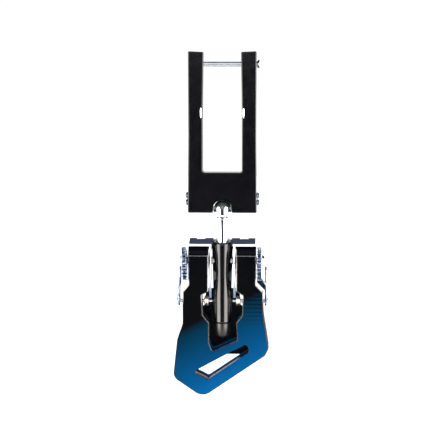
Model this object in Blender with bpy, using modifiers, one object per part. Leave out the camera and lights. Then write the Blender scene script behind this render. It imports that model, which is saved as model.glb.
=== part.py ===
"""Spring-loaded camming device with a thumb yoke, a folding swivel and a nose guard.

Sizes are in millimetres and become metres when a mesh is made. X runs left to
right, -Y is the front, +Z is up. The origin is the centre of the cross pin at the
top of the yoke, and the device hangs below it.
"""
import math

import bmesh
import bpy
from mathutils import Matrix, Vector

MM = 0.001
GAP = 0.3

# Yoke: the two-armed frame with the cross pin
YOKE_TOP = 8.9
YOKE_BOTTOM = -103.0
YOKE_DEPTH = 10.0
YOKE_HALF_TOP = 23.6
YOKE_HALF_BOTTOM = 24.2
WINDOW_HALF = 13.6
WINDOW_BOTTOM = -74.7
CROSS_PIN_RADIUS = 1.7

# Swivel in the notch under the yoke
BALL_Z = -100.4
BALL_RADIUS = 5.2
NOTCH_RADIUS = 7.35
NOTCH_WALL = 0.8
BLOCK_HALF = 11.0
BLOCK_TOP = -88.0
CUP_BOTTOM = -106.3
HOOD_RADIUS = 6.1
HOOD_FRONT = 1.2
STEM_TOP = -107.4
STEM_RADIUS = 4.3
SCREW_ROWS = (-91.1, -95.9)

# Sleeve on the stem, and the cam axle that crosses it
SLEEVE_TOP = -123.9
SLEEVE_BOTTOM = -181.4
SLEEVE_RADIUS = 7.3
COLLAR_BOTTOM = -192.3
SCALLOP_TOP = -124.6
SCALLOP_MIDDLE = -148.0
SCALLOP_BOTTOM = -166.0
SCALLOP_REACH = 6.04
SCALLOP_UPPER = 0.00227
SCALLOP_LOWER = 0.0013
SCALLOP_TURN = 50.0
AXLE_Z = -137.3
AXLE_RADIUS = 2.5

# Nose guard: two cheeks with a core between them
FRONT_Y = -6.8
SHEET = 2.2
REAR_Y = 4.1
UPRIGHT_INNER = 9.7
UPRIGHT_OUTER = 23.95
EAR = 1.6
ROLL_Z = -132.7
ROLL_RADIUS = 6.4
ROLL_STEP = 0.45
REAR_TOP = -160.0
CORE_TOP = -177.5
COVER_BOTTOM = -206.9

# Cams: equal-angle spirals that turn on the axle
CAM_TIP_RADIUS = 22.5
CAM_TIP_ANGLE = 34.0
CAM_HEEL_ANGLE = -70.0
CAMMING_ANGLE = 13.75
CAM_HUB = 4.2
TOOTH_DEPTH = 1.0
TEETH = 8
HUB_STEPS = 8
INNER_CAM_X = (13.0, 17.6)
OUTER_CAM_X = (24.35, 27.65)
TAIL_X = (29.95, 31.35)
WASHER_X = (11.65, 12.65)

# Trigger: finger wings, rails, crossbars and the rear yoke that drives the inner cams
TRAVEL = 12.0
YOKE_PIN_Y = 12.0
CAM_SWING = 2.0 * math.degrees(math.atan(TRAVEL / 2 / YOKE_PIN_Y))
WING_INNER = 6.5
WING_OUTER = 23.3
WING_BOTTOM = -126.2
WING_THICKNESS = 1.9
WING_RAMP = 1.8
WING_HALF_DEPTH = 8.0
CAM_RELIEF_Y = 4.9
RAIL_X = (7.75, 9.3)
RAIL_HALF_DEPTH = 4.3
HOOK_Y = -0.2
CROSSBAR_Z = -166.4
CROSSBAR_RADIUS = 1.25
ARM_X = (10.3, 12.3)
YOKE_SCREW_X = 8.0


# ---------------------------------------------------------------- scene helpers

def clear_scene():
    for item in list(bpy.data.objects):
        bpy.data.objects.remove(item)


def collection(name):
    group = bpy.data.collections.new(name)
    bpy.context.scene.collection.children.link(group)
    return group


def material(name, colour, roughness, metallic):
    finish = bpy.data.materials.new(name)
    finish.use_nodes = True
    shader = finish.node_tree.nodes["Principled BSDF"]
    shader.inputs["Base Color"].default_value = (*colour, 1.0)
    shader.inputs["Roughness"].default_value = roughness
    shader.inputs["Metallic"].default_value = metallic
    return finish


def pivot(name, place, parent=None):
    """An empty on a joint's axis, at a place in world millimetres."""
    empty = bpy.data.objects.new(name, None)
    empty.empty_display_size = 0.01
    PARTS.objects.link(empty)
    PLACES[name] = Vector(place) * MM
    empty.location = PLACES[name]
    if parent:
        empty.parent = parent
        empty.location = PLACES[name] - PLACES[parent.name]
    return empty


def link(name, mesh):
    item = bpy.data.objects.new(name, mesh)
    PARTS.objects.link(item)
    mesh.shade_smooth()
    mesh.set_sharp_from_angle(angle=math.radians(32))
    return item


def part(item, name, finish, parent=None):
    """Name a finished shape as a node and put its origin on its pivot."""
    item.name = name
    item.data.name = name
    item.data.materials.clear()
    item.data.materials.append(finish)
    if parent:
        item.data.transform(Matrix.Translation(-PLACES[parent.name]))
        item.parent = parent
    return item


def modifier(item, kind, **settings):
    added = item.modifiers.new(kind.lower(), kind)
    for key, value in settings.items():
        setattr(added, key, value)
    return added


def combine(item, operation, others):
    for other in others:
        for group in list(other.users_collection):
            group.objects.unlink(other)
        TOOLS.objects.link(other)
        other.hide_render = True
        other.display_type = "WIRE"
        modifier(item, "BOOLEAN", object=other, operation=operation, solver="EXACT")
    return item


def cut(item, *others):
    return combine(item, "DIFFERENCE", others)


def unite(item, *others):
    return combine(item, "UNION", others)


def bevel(item, width, segments=1, angle=50):
    modifier(item, "BEVEL", width=width * MM, segments=segments, limit_method="ANGLE",
             angle_limit=math.radians(angle), use_clamp_overlap=False)
    return item


# ---------------------------------------------------------------- shape helpers

TO_AXIS = {
    "X": Matrix.Rotation(math.radians(90), 4, "Y"),
    "Y": Matrix.Rotation(math.radians(-90), 4, "X"),
    "Z": Matrix.Identity(4),
}


def place_on(axis, along, at):
    """World point from a distance along an axis and the two other coordinates."""
    if axis == "X":
        return Vector((along, at[0], at[1]))
    if axis == "Y":
        return Vector((at[0], along, at[1]))
    return Vector((at[0], at[1], along))


def box(x, y, z):
    mesh = bpy.data.meshes.new("box")
    bm = bmesh.new()
    bmesh.ops.create_cube(bm, size=1.0)
    size = Vector((x[1] - x[0], y[1] - y[0], z[1] - z[0])) * MM
    middle = Vector((x[0] + x[1], y[0] + y[1], z[0] + z[1])) * MM / 2
    bmesh.ops.scale(bm, vec=size, verts=bm.verts)
    bmesh.ops.translate(bm, vec=middle, verts=bm.verts)
    bm.to_mesh(mesh)
    bm.free()
    return link("box", mesh)


def rod(axis, radius, start, end, at=(0.0, 0.0), end_radius=None, sides=32):
    """A cylinder or cone along X, Y or Z; at holds its other two coordinates."""
    mesh = bpy.data.meshes.new("rod")
    bm = bmesh.new()
    last = radius if end_radius is None else end_radius
    bmesh.ops.create_cone(bm, cap_ends=True, segments=sides, radius1=radius * MM,
                          radius2=last * MM, depth=(end - start) * MM)
    middle = place_on(axis, (start + end) / 2, at) * MM
    bm.transform(Matrix.Translation(middle) @ TO_AXIS[axis])
    bm.to_mesh(mesh)
    bm.free()
    return link("rod", mesh)


def ring(axis, inner, outer, start, end, at=(0.0, 0.0), sides=32):
    hole = rod(axis, inner, start - 1, end + 1, at, sides=sides)
    return cut(rod(axis, outer, start, end, at, sides=sides), hole)


def turned(profile, sides=40):
    """A solid of revolution about Z from (radius, z) points, top to bottom."""
    mesh = bpy.data.meshes.new("turned")
    bm = bmesh.new()
    points = [bm.verts.new((r * MM, 0.0, z * MM)) for r, z in profile]
    for first, second in zip(points, points[1:]):
        bm.edges.new((first, second))
    bm.to_mesh(mesh)
    bm.free()
    item = link("turned", mesh)
    modifier(item, "SCREW", axis="Z", steps=sides, render_steps=sides, use_merge_vertices=True,
             merge_threshold=0.00001, use_smooth_shade=True)
    return item


def rounded(points, steps=5):
    """Outline points (a, b, radius) with each corner replaced by an arc."""
    outline = []
    count = len(points)
    for index, (a, b, radius) in enumerate(points):
        here = Vector((a, b))
        before = Vector(points[index - 1][:2]) - here
        after = Vector(points[(index + 1) % count][:2]) - here
        if radius <= 0:
            outline.append(here)
            continue
        half = before.angle(after) / 2
        centre = here + (before.normalized() + after.normalized()).normalized() * radius / math.sin(half)
        reach = radius / math.tan(half)
        start = here + before.normalized() * reach - centre
        end = here + after.normalized() * reach - centre
        sweep = start.angle_signed(end)
        for step in range(steps + 1):
            outline.append(centre + Matrix.Rotation(-sweep * step / steps, 2) @ start)
    return outline


TO_PLANE = {
    "XZ": Matrix.Rotation(math.radians(90), 4, "X"),
    "YZ": Matrix(((0, 0, 1, 0), (1, 0, 0, 0), (0, 1, 0, 0), (0, 0, 0, 1))),
    "XY": Matrix.Identity(4),
}


def plate(plane, outline, start, end, chamfer=0.0):
    """A flat sheet: an outline in XZ, YZ or XY with its thickness from start to end."""
    curve = bpy.data.curves.new("outline", "CURVE")
    curve.dimensions = "2D"
    curve.fill_mode = "BOTH"
    curve.extrude = ((end - start) / 2 - chamfer) * MM
    curve.bevel_depth = chamfer * MM
    curve.bevel_resolution = 0
    curve.offset = -chamfer * MM
    spline = curve.splines.new("POLY")
    spline.points.add(len(outline) - 1)
    for point, place in zip(spline.points, outline):
        point.co = (place[0] * MM, place[1] * MM, 0.0, 1.0)
    spline.use_cyclic_u = True
    drawing = bpy.data.objects.new("outline", curve)
    PARTS.objects.link(drawing)
    mesh = bpy.data.meshes.new_from_object(drawing)
    bpy.data.objects.remove(drawing)
    bm = bmesh.new()
    bm.from_mesh(mesh)
    bmesh.ops.remove_doubles(bm, verts=bm.verts, dist=0.000001)
    bmesh.ops.recalc_face_normals(bm, faces=bm.faces)
    middle = (start + end) / 2 * MM
    shift = {"XZ": (0, middle, 0), "YZ": (middle, 0, 0), "XY": (0, 0, middle)}[plane]
    bm.transform(Matrix.Translation(shift) @ TO_PLANE[plane])
    bm.to_mesh(mesh)
    bm.free()
    return link("plate", mesh)


def arc(centre, radius, start, end, steps):
    """Points on a circle in the plate's plane, angles in degrees."""
    return [(centre[0] + radius * math.cos(math.radians(start + (end - start) * i / steps)),
             centre[1] + radius * math.sin(math.radians(start + (end - start) * i / steps)))
            for i in range(steps + 1)]


def coil(radius, wire, start, end, turns, legs):
    """A torsion spring's wire about the cam axle, with a straight leg at each end."""
    curve = bpy.data.curves.new("coil", "CURVE")
    curve.dimensions = "3D"
    curve.bevel_depth = wire / 2 * MM
    curve.bevel_resolution = 1
    curve.use_fill_caps = True
    count = int(12 * turns)
    places = [legs[0]]
    for step in range(count + 1):
        angle = math.radians(360 * turns * step / count)
        places.append((start + (end - start) * step / count,
                       radius * math.cos(angle), AXLE_Z + radius * math.sin(angle)))
    places.append(legs[1])
    spline = curve.splines.new("POLY")
    spline.points.add(len(places) - 1)
    for point, place in zip(spline.points, places):
        point.co = (*(value * MM for value in place), 1.0)
    drawing = bpy.data.objects.new("coil", curve)
    PARTS.objects.link(drawing)
    mesh = bpy.data.meshes.new_from_object(drawing)
    bpy.data.objects.remove(drawing)
    bm = bmesh.new()
    bm.from_mesh(mesh)
    bmesh.ops.remove_doubles(bm, verts=bm.verts, dist=0.000001)
    bm.to_mesh(mesh)
    bm.free()
    return link("coil", mesh)


def span(side, pair):
    """An X range mirrored to the left (-1) or right (+1) side, lowest first."""
    return tuple(sorted((side * pair[0], side * pair[1])))


# ---------------------------------------------------------------- yoke

def yoke_frame():
    window = WINDOW_HALF
    right = [(window, WINDOW_BOTTOM, 1.6), (window, -35.0, 0), (window - 0.7, YOKE_TOP - 0.5, 1.0),
             (YOKE_HALF_TOP, YOKE_TOP, 1.0), (YOKE_HALF_TOP - 0.1, -50.0, 0),
             (YOKE_HALF_BOTTOM, YOKE_BOTTOM, 1.0)]
    left = [(-a, b, radius) for a, b, radius in reversed(right)]
    frame = plate("XZ", rounded(right + left, 3), -YOKE_DEPTH / 2, YOKE_DEPTH / 2, 0.7)
    half = BLOCK_HALF + GAP
    pocket = box((-half, half), (-3.5, 3.5), (YOKE_BOTTOM - 1, BLOCK_TOP + GAP))
    notch = plate("XZ", notch_outline(NOTCH_RADIUS + GAP, YOKE_BOTTOM - 1), -6.0, 6.0)
    cut(frame, notch, pocket)
    cut(frame, rod("X", CROSS_PIN_RADIUS + GAP, -20.0, 26.0, (0, 0), sides=24))
    cut(frame, rod("X", 2.9, -18.2, -16.8, (0, 0), sides=24))
    for side in (-1, 1):
        for z in SCREW_ROWS:
            cut(frame, rod("X", 1.7, *span(side, (10.5, 25.0)), (0, z), sides=12))
        dimple = rod("Z", 1.3, -37.0, -29.6, (side * (WINDOW_HALF + 0.1), -YOKE_DEPTH / 2), sides=16)
        bevel(dimple, 1.0, 2)
        cut(frame, dimple)
    return frame


def notch_outline(radius, bottom):
    return [(radius, bottom)] + arc((0, BALL_Z), radius, 0, 180, 20) + [(-radius, bottom)]


def swivel_block():
    """Steel insert in the yoke's base; its rim lines the notch."""
    bottom = YOKE_BOTTOM + 0.2
    block = box((-BLOCK_HALF, BLOCK_HALF), (-3.2, 3.2), (bottom, BLOCK_TOP))
    bevel(block, 0.3)
    half = YOKE_DEPTH / 2 + 0.25
    unite(block, plate("XZ", notch_outline(NOTCH_RADIUS, bottom), -half, half))
    inner = NOTCH_RADIUS - NOTCH_WALL
    cut(block, plate("XZ", notch_outline(inner, bottom - 1), -half - 1, half + 1))
    cut(block, rod("X", 1.8, -10.7, 10.7, (0, BALL_Z), sides=20))
    for side in (-1, 1):
        for z in SCREW_ROWS:
            cut(block, rod("X", 1.7, *span(side, (8.6, 12.0)), (0, z), sides=12))
    return block


def button_screw(side, z):
    """One cross-recessed screw with a domed head, pointing in along X."""
    face = YOKE_HALF_BOTTOM - 0.05 + GAP / 2
    shank = rod("X", 1.4, *span(side, (9.0, face + 0.6)), (0, z), sides=12)
    start, end = span(side, (face, face + 1.7))
    head = rod("X", 2.3 if side > 0 else 1.5, start, end, (0, z),
               end_radius=1.5 if side > 0 else 2.3, sides=16)
    unite(shank, head)
    recess = rod("X", 0.9, *span(side, (face + 1.0, face + 3.0)), (0, z), sides=6)
    return cut(shank, recess)


def cross_pin():
    shaft = rod("X", CROSS_PIN_RADIUS, -19.4, 24.4, (0, 0), sides=24)
    bevel(shaft, 0.35)
    head = rod("X", 2.2, 23.95, 25.7, (0, 0), end_radius=3.3, sides=28)
    unite(shaft, head)
    cut(shaft, box((24.9, 26.5), (-0.5, 0.5), (-4.0, 4.0)))
    return shaft


def detent_ring():
    """Spring ring in a groove of the left arm that grips the pin's end."""
    return ring("X", CROSS_PIN_RADIUS + GAP, 2.55, -17.9, -17.1, (0, 0), sides=24)


# ---------------------------------------------------------------- swivel

def swivel_ball():
    """Fluted ball on the tilt pin, with a stud that holds the stem."""
    mesh = bpy.data.meshes.new("ball")
    bm = bmesh.new()
    bmesh.ops.create_uvsphere(bm, u_segments=28, v_segments=10, radius=BALL_RADIUS * MM)
    for vert in bm.verts:
        turn = round(14 * math.atan2(vert.co.y, vert.co.x) / math.pi)
        reach = math.hypot(vert.co.x, vert.co.y)
        if turn % 2 and reach > 0.001:
            vert.co.x *= 0.955
            vert.co.y *= 0.955
    bmesh.ops.translate(bm, vec=(0, 0, BALL_Z * MM), verts=bm.verts)
    bm.to_mesh(mesh)
    bm.free()
    ball = link("ball", mesh)
    stud = turned([(0, -103.0), (2.0, -103.0), (2.0, -109.4), (2.9, -109.6), (2.9, -110.6),
                   (2.5, -111.0), (0, -111.0)], 24)
    unite(ball, stud)
    return cut(ball, rod("X", 1.8, -6, 6, (0, BALL_Z), sides=20))


def cup_hood():
    """Rear slice of a ball that closes the notch behind the swivel ball."""
    hood = turned([(0, BALL_Z + HOOD_RADIUS)] + arc((0, BALL_Z), HOOD_RADIUS, 80, -10, 9)
                  + [(0, BALL_Z - 1.1)], 30)
    return cut(hood, box((-9.0, 9.0), (-9.0, HOOD_FRONT), (BALL_Z - 9, BALL_Z + 9)))


def swivel_cup():
    """Bright cup under the ball: pointed lugs in front and a hood behind."""
    outer = [(0, -98.1), (5.9, -98.1), (6.2, -99.0), (6.2, -104.2), (5.5, CUP_BOTTOM), (0, CUP_BOTTOM)]
    cup = turned(outer, 32)
    cut(cup, box((-2.1, 2.1), (-8, 8), (-101.2, -97)))
    for side in (-1, 1):
        wedge = [(side * 2.7, -97.5), (side * 9, -97.5), (side * 9, -103.0), (side * 6.1, -103.0)]
        cut(cup, plate("XZ", wedge, -9, 9))
    unite(cup, cup_hood())
    reach = BALL_RADIUS + GAP
    hollow = turned([(0, BALL_Z + reach)] + arc((0, BALL_Z), reach, 75, -75, 10) + [(0, BALL_Z - reach)], 28)
    return cut(cup, hollow, rod("Z", 2.3, -108, -104, sides=24), rod("X", 1.8, -8, 8, (0, BALL_Z), sides=20))


def stem_rod():
    flare = [(0, STEM_TOP), (5.0, STEM_TOP), (5.5, -107.9), (5.3, -109.4), (4.7, -111.2),
             (STEM_RADIUS, -113.2), (STEM_RADIUS, -133.0), (4.0, -133.4), (0, -133.4)]
    stem = turned(flare, 32)
    neck = turned([(0, -106), (2.3, -106), (2.3, -109.1), (3.25, -109.3), (3.25, -111.4), (0, -111.4)], 24)
    return cut(stem, neck)


# ---------------------------------------------------------------- sleeve and axle

def scallop(side, steps=10):
    """Cutter for a shallow finger hollow that runs down one front quarter of the sleeve."""
    hollow = []
    for step in range(steps + 1):
        z = SCALLOP_TOP + (SCALLOP_BOTTOM - SCALLOP_TOP) * step / steps
        curve = SCALLOP_UPPER if z > SCALLOP_MIDDLE else SCALLOP_LOWER
        hollow.append((SCALLOP_REACH + curve * (z - SCALLOP_MIDDLE) ** 2, z))
    outline = hollow + [(12.0, SCALLOP_BOTTOM), (12.0, SCALLOP_TOP)]
    cutter = plate("YZ", outline, -9.0, 9.0)
    cutter.data.transform(Matrix.Rotation(math.radians(180 + side * SCALLOP_TURN), 4, "Z"))
    return cutter


def stem_sleeve():
    outer = [(0, SLEEVE_TOP), (5.7, SLEEVE_TOP), (6.7, -124.3), (7.2, -125.3), (SLEEVE_RADIUS, -126.8),
             (7.15, -137.0), (6.75, -148.0), (6.45, -160.0), (6.35, -172.0), (6.3, -179.6),
             (5.9, SLEEVE_BOTTOM), (0, SLEEVE_BOTTOM)]
    sleeve = turned(outer, 40)
    bore = turned([(0, -122), (STEM_RADIUS + GAP, -122), (STEM_RADIUS + GAP, -133.8), (0, -133.8)], 26)
    cut(sleeve, bore, rod("X", AXLE_RADIUS + GAP, -9, 9, (0, AXLE_Z), sides=20))
    cut(sleeve, rod("Z", 2.8, SLEEVE_BOTTOM - 1, -175.4, sides=18), scallop(-1), scallop(1))
    return cut(sleeve, rod("Y", 1.3, 3.6, 9.0, (0, -129.6), sides=12))


def end_collar():
    outer = [(0, -176.0), (2.5, -176.0), (2.5, -181.9), (5.6, -181.9), (5.75, -182.3), (5.75, -184.0),
             (5.3, -188.5), (4.6, -191.2), (3.7, COLLAR_BOTTOM), (0, COLLAR_BOTTOM)]
    collar = turned(outer, 32)
    return cut(collar, rod("Y", 1.8, 0.5, 7.0, (0, -187.0), sides=16))


def rear_screw(x, z, head_y, tip_y, shank=1.2, head=2.2, rise=1.4):
    """One socket-head screw that goes in from the rear along Y."""
    screw = rod("Y", shank, tip_y, head_y + 0.5, (x, z), sides=10)
    cap = rod("Y", head, head_y, head_y + rise, (x, z), end_radius=head * 0.75, sides=16)
    unite(screw, cap)
    return cut(screw, rod("Y", head * 0.42, head_y + rise * 0.5, head_y + rise + 1, (x, z), sides=6))


def axle_nut(side):
    start, end = span(side, (27.95, 29.9))
    nut = rod("X", 4.0 if side > 0 else 2.9, start, end, (0, AXLE_Z),
              end_radius=2.9 if side > 0 else 4.0, sides=24)
    return cut(nut, rod("X", AXLE_RADIUS + GAP, *span(side, (27.0, 29.1)), (0, AXLE_Z), sides=20))


# ---------------------------------------------------------------- nose guard

BODY = [(-28.0, -159.2, 2.5), (-28.0, -182.5, 12.0), (-32.0, -193.5, 8.0), (-35.0, -220.8, 6.5),
        (-14.0, -235.6, 9.0), (30.5, -204.7, 4.5), (33.2, -199.0, 4.0), (29.3, -174.5, 30.0),
        (29.0, -159.3, 2.5)]
OPENING = [(9.9, -181.0, 1.0), (14.1, -175.6, 1.0), (14.4, -161.4, 1.0), (9.7, -158.4, 1.0),
           (-9.7, -158.4, 1.0), (-14.4, -161.4, 1.0), (-13.6, -175.6, 1.0), (-9.3, -181.0, 1.0),
           (-9.3, -195.6, 3.0), (-7.0, -201.6, 1.5), (10.6, -193.4, 1.2)]
SLOT = [(-18.6, -215.5, 0.9), (-18.6, -217.5, 1.2), (-10.0, -221.9, 1.2), (19.2, -202.0, 2.6),
        (17.6, -196.2, 2.6), (7.0, -201.4, 4.0)]


def grown(points, by):
    """The same outline with every side moved outwards by a distance."""
    count = len(points)
    places = [Vector(point[:2]) for point in points]
    area = sum(places[i - 1].x * places[i].y - places[i].x * places[i - 1].y for i in range(count))
    turn = 1 if area > 0 else -1
    result = []
    for index, (here, point) in enumerate(zip(places, points)):
        before = (here - places[index - 1]).normalized()
        after = (places[(index + 1) % count] - here).normalized()
        side_a = Vector((before.y, -before.x)) * turn
        side_b = Vector((after.y, -after.x)) * turn
        shift = (side_a + side_b) / (1 + side_a.dot(side_b))
        moved = here + shift * by
        result.append((moved.x, moved.y, max(point[2], 0.4)))
    return result


def front_cheek():
    """Front plate with two uprights whose tops roll back over the cam axle."""
    inner, outer = UPRIGHT_INNER, UPRIGHT_OUTER
    right = [(inner, -158.4, 1.0), (inner, ROLL_Z, 0), (outer, ROLL_Z, 0), (outer, -154.0, 2.0),
             (29.0, -159.1, 2.0)]
    left = [(-28.0, -159.0, 2.0), (-outer, -154.0, 2.0), (-outer, ROLL_Z, 0), (-inner, ROLL_Z, 0),
            (-inner, -158.4, 1.0)]
    low_right = [BODY[7], BODY[6], BODY[5], BODY[4]]
    low_left = [BODY[3], BODY[2], BODY[1]]
    opening = OPENING[5:] + OPENING[:3]
    outline = right + low_right + low_left + left + opening
    cheek = plate("XZ", rounded(outline, 3), FRONT_Y, FRONT_Y + SHEET, 0.7)
    cut(cheek, plate("XZ", rounded(SLOT, 4), FRONT_Y - 1, FRONT_Y + SHEET + 1))
    for side in (-1, 1):
        unite(cheek, roll(side))
        unite(cheek, ear(side, (inner + 0.2, inner + EAR)), ear(side, (outer - EAR, outer - 0.2)))
    for x, z in CHEEK_SCREWS + COVER_SCREWS:
        cut(cheek, rod("Y", 1.5, FRONT_Y + 1.0, FRONT_Y + SHEET + 1, (x, z), sides=10))
    return cheek


def roll(side):
    """The bent top of an upright, set back by a small step, with chamfered ends."""
    y = FRONT_Y + ROLL_STEP + ROLL_RADIUS
    outside = arc((y, ROLL_Z), ROLL_RADIUS, 180, 115, 7)
    inside = arc((y, ROLL_Z), ROLL_RADIUS - SHEET, 138, 180, 5)
    foot = [(y - ROLL_RADIUS + SHEET, ROLL_Z - 1.6), (y - ROLL_RADIUS, ROLL_Z - 1.6)]
    ends = span(side, (UPRIGHT_INNER + 0.05, UPRIGHT_OUTER - 0.05))
    return plate("YZ", outside + inside + foot, *ends, 0.55)


def ear(side, pair):
    """Side wall of an upright that carries the cam axle."""
    y = FRONT_Y + ROLL_STEP + ROLL_RADIUS
    top = arc((y, ROLL_Z), ROLL_RADIUS - 1.1, 175, 20, 8)
    rest = arc((0, AXLE_Z), 5.2, 10, -70, 4)
    outline = top + rest + [(-1.0, AXLE_Z - 8.5), (FRONT_Y + 1.2, AXLE_Z - 11.0)]
    wall = plate("YZ", outline, *span(side, pair))
    middle = side * (pair[0] + pair[1]) / 2
    return cut(wall, rod("X", AXLE_RADIUS + GAP, middle - 2, middle + 2, (0, AXLE_Z), sides=20))


CHEEK_SCREWS = [(-25.0, -184.5), (-30.0, -211.0), (-13.5, -228.5), (27.4, -181.5), (28.6, -200.0)]
COVER_SCREWS = [(-16.8, -183.0), (-15.6, -203.4), (17.8, -183.0), (21.6, -192.2)]


def rear_cheek():
    right = [(9.7, REAR_TOP, 1.0), (29.0, REAR_TOP, 1.5)]
    left = [(-28.0, REAR_TOP, 1.5), (-9.7, REAR_TOP, 1.0)]
    low = [BODY[7], BODY[6], BODY[5], BODY[4], BODY[3], BODY[2], BODY[1]]
    opening = [(-14.4, -162.6, 1.0)] + OPENING[6:] + [OPENING[0], OPENING[1], (14.4, -162.6, 1.0)]
    cheek = plate("XZ", rounded(right + low + left + opening, 3), REAR_Y, REAR_Y + SHEET, 0.6)
    cut(cheek, plate("XZ", rounded(SLOT, 4), REAR_Y - 1, REAR_Y + SHEET + 1))
    for x, z in CHEEK_SCREWS + COVER_SCREWS:
        cut(cheek, rod("Y", 1.5, REAR_Y - 1, REAR_Y + SHEET + 1, (x, z), sides=10))
    return cheek


def core_spacer():
    """Middle layer that holds the cheeks apart around the opening and the slot."""
    inset = grown([(-28.0, CORE_TOP, 2.0)] + BODY[1:8] + [(29.0, CORE_TOP, 2.0)], -1.6)
    core = plate("XZ", rounded(inset, 3), FRONT_Y + SHEET + GAP, REAR_Y - GAP)
    wide = [(15.2, -172.0, 0.5), (-15.2, -172.0, 0.5), (-14.6, -176.2, 1.0), (-10.1, -181.6, 1.0),
            (-10.1, -196.0, 3.0), (-7.6, -203.0, 1.5), (11.4, -194.0, 1.2), (11.0, -181.6, 1.0),
            (15.2, -176.4, 1.0)]
    cut(core, plate("XZ", rounded(wide, 3), -8, 8))
    cut(core, plate("XZ", rounded(grown(SLOT, 0.7), 4), -8, 8))
    for x, z in CHEEK_SCREWS + COVER_SCREWS:
        cut(core, rod("Y", 1.5, -8, 8, (x, z), sides=10))
    return core


def back_cover():
    outline = [(-12.3, -158.6, 1.5), (12.3, -158.6, 1.5), (12.3, -170.0, 1.5), (21.5, -178.0, 2.0),
               (26.0, -190.0, 3.0), (22.5, COVER_BOTTOM, 2.0), (-19.5, COVER_BOTTOM, 3.0),
               (-21.0, -178.0, 2.0), (-12.3, -170.0, 1.5)]
    cover = plate("XZ", rounded(outline, 3), REAR_Y + SHEET + GAP, REAR_Y + SHEET + GAP + 1.2, 0.35)
    for x, z in COVER_SCREWS + [(0, -187.0)]:
        radius = 1.8 if x == 0 else 1.5
        cut(cover, rod("Y", radius, REAR_Y, REAR_Y + 8, (x, z), sides=12))
    return cover


# ---------------------------------------------------------------- cams

def cam_radius(angle):
    """Equal-angle spiral: the wedge angle at the rock stays the same as the cam turns."""
    return CAM_TIP_RADIUS * math.exp(math.tan(math.radians(CAMMING_ANGLE))
                                     * math.radians(angle - CAM_TIP_ANGLE))


def cam_outline(facing):
    """Lobe in the YZ plane about the axle; facing is +1 to the rear, -1 to the front."""
    places = []
    sweep = CAM_TIP_ANGLE - CAM_HEEL_ANGLE
    for tooth in range(TEETH):
        start = CAM_TIP_ANGLE - sweep * tooth / TEETH
        pitch = sweep / TEETH
        for share, sink in ((0.0, 0.0), (0.52, 0.0), (0.66, 1.0), (0.86, 1.0)):
            angle = start - pitch * share
            places.append((cam_radius(angle) - TOOTH_DEPTH * sink, angle))
    places.append((cam_radius(CAM_HEEL_ANGLE), CAM_HEEL_ANGLE))
    hub_start = CAM_HEEL_ANGLE - 42
    hub_end = CAM_TIP_ANGLE + 40 - 360
    for step in range(HUB_STEPS + 1):
        places.append((CAM_HUB, hub_start + (hub_end - hub_start) * step / HUB_STEPS))
    return [(facing * r * math.cos(math.radians(a)), AXLE_Z + r * math.sin(math.radians(a)))
            for r, a in places]


def cam_lobe(facing, pair):
    lobe = plate("YZ", cam_outline(facing), *pair, 0.35)
    middle = (pair[0] + pair[1]) / 2
    return lobe, middle


def inner_cam(side):
    """Rear-facing cam; the rear yoke's pin turns it by a radial slot."""
    lobe, middle = cam_lobe(1, span(side, INNER_CAM_X))
    cut(lobe, rod("X", AXLE_RADIUS + GAP, middle - 4, middle + 4, (0, AXLE_Z), sides=20))
    tilt = math.radians(-CAM_SWING / 2)
    nearest = YOKE_PIN_Y
    farthest = math.hypot(YOKE_PIN_Y, TRAVEL / 2)
    half = CROSSBAR_RADIUS + GAP + 0.15
    along = Vector((math.cos(tilt), math.sin(tilt)))
    start = along * nearest + Vector((0, AXLE_Z))
    end = along * farthest + Vector((0, AXLE_Z))
    turn = math.degrees(tilt)
    slot = arc(start, half, turn + 90, turn + 270, 8) + arc(end, half, turn - 90, turn + 90, 8)
    cut(lobe, plate("YZ", slot, middle - 4, middle + 4))
    cut(lobe, rod("X", 2.6, middle - 4, middle + 4, (12.2, AXLE_Z + 5.6), sides=14))
    return lobe


def spiral_track(half, steps=10):
    """Path of a crossbar in the outer cam's frame as it rises while the cam turns."""
    centre = []
    for step in range(steps + 1):
        rise = TRAVEL * step / steps
        reach = AXLE_Z - CROSSBAR_Z - rise
        angle = math.radians(-90 + CAM_SWING * step / steps)
        centre.append(Vector((reach * math.cos(angle), AXLE_Z + reach * math.sin(angle))))
    heading = [(centre[min(i + 1, steps)] - centre[max(i - 1, 0)]).normalized() for i in range(steps + 1)]
    sides = [Vector((way.y, -way.x)) for way in heading]
    right = [place + side * half for place, side in zip(centre, sides)]
    left = [place - side * half for place, side in zip(centre, sides)]
    turns = [Matrix.Rotation(math.radians(angle), 2) for angle in (45, 90, 135)]
    cap_end = [centre[-1] + turn @ (sides[-1] * half) for turn in turns]
    cap_start = [centre[0] + turn @ (-sides[0] * half) for turn in turns]
    return right + cap_end + left[::-1] + cap_start


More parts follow.
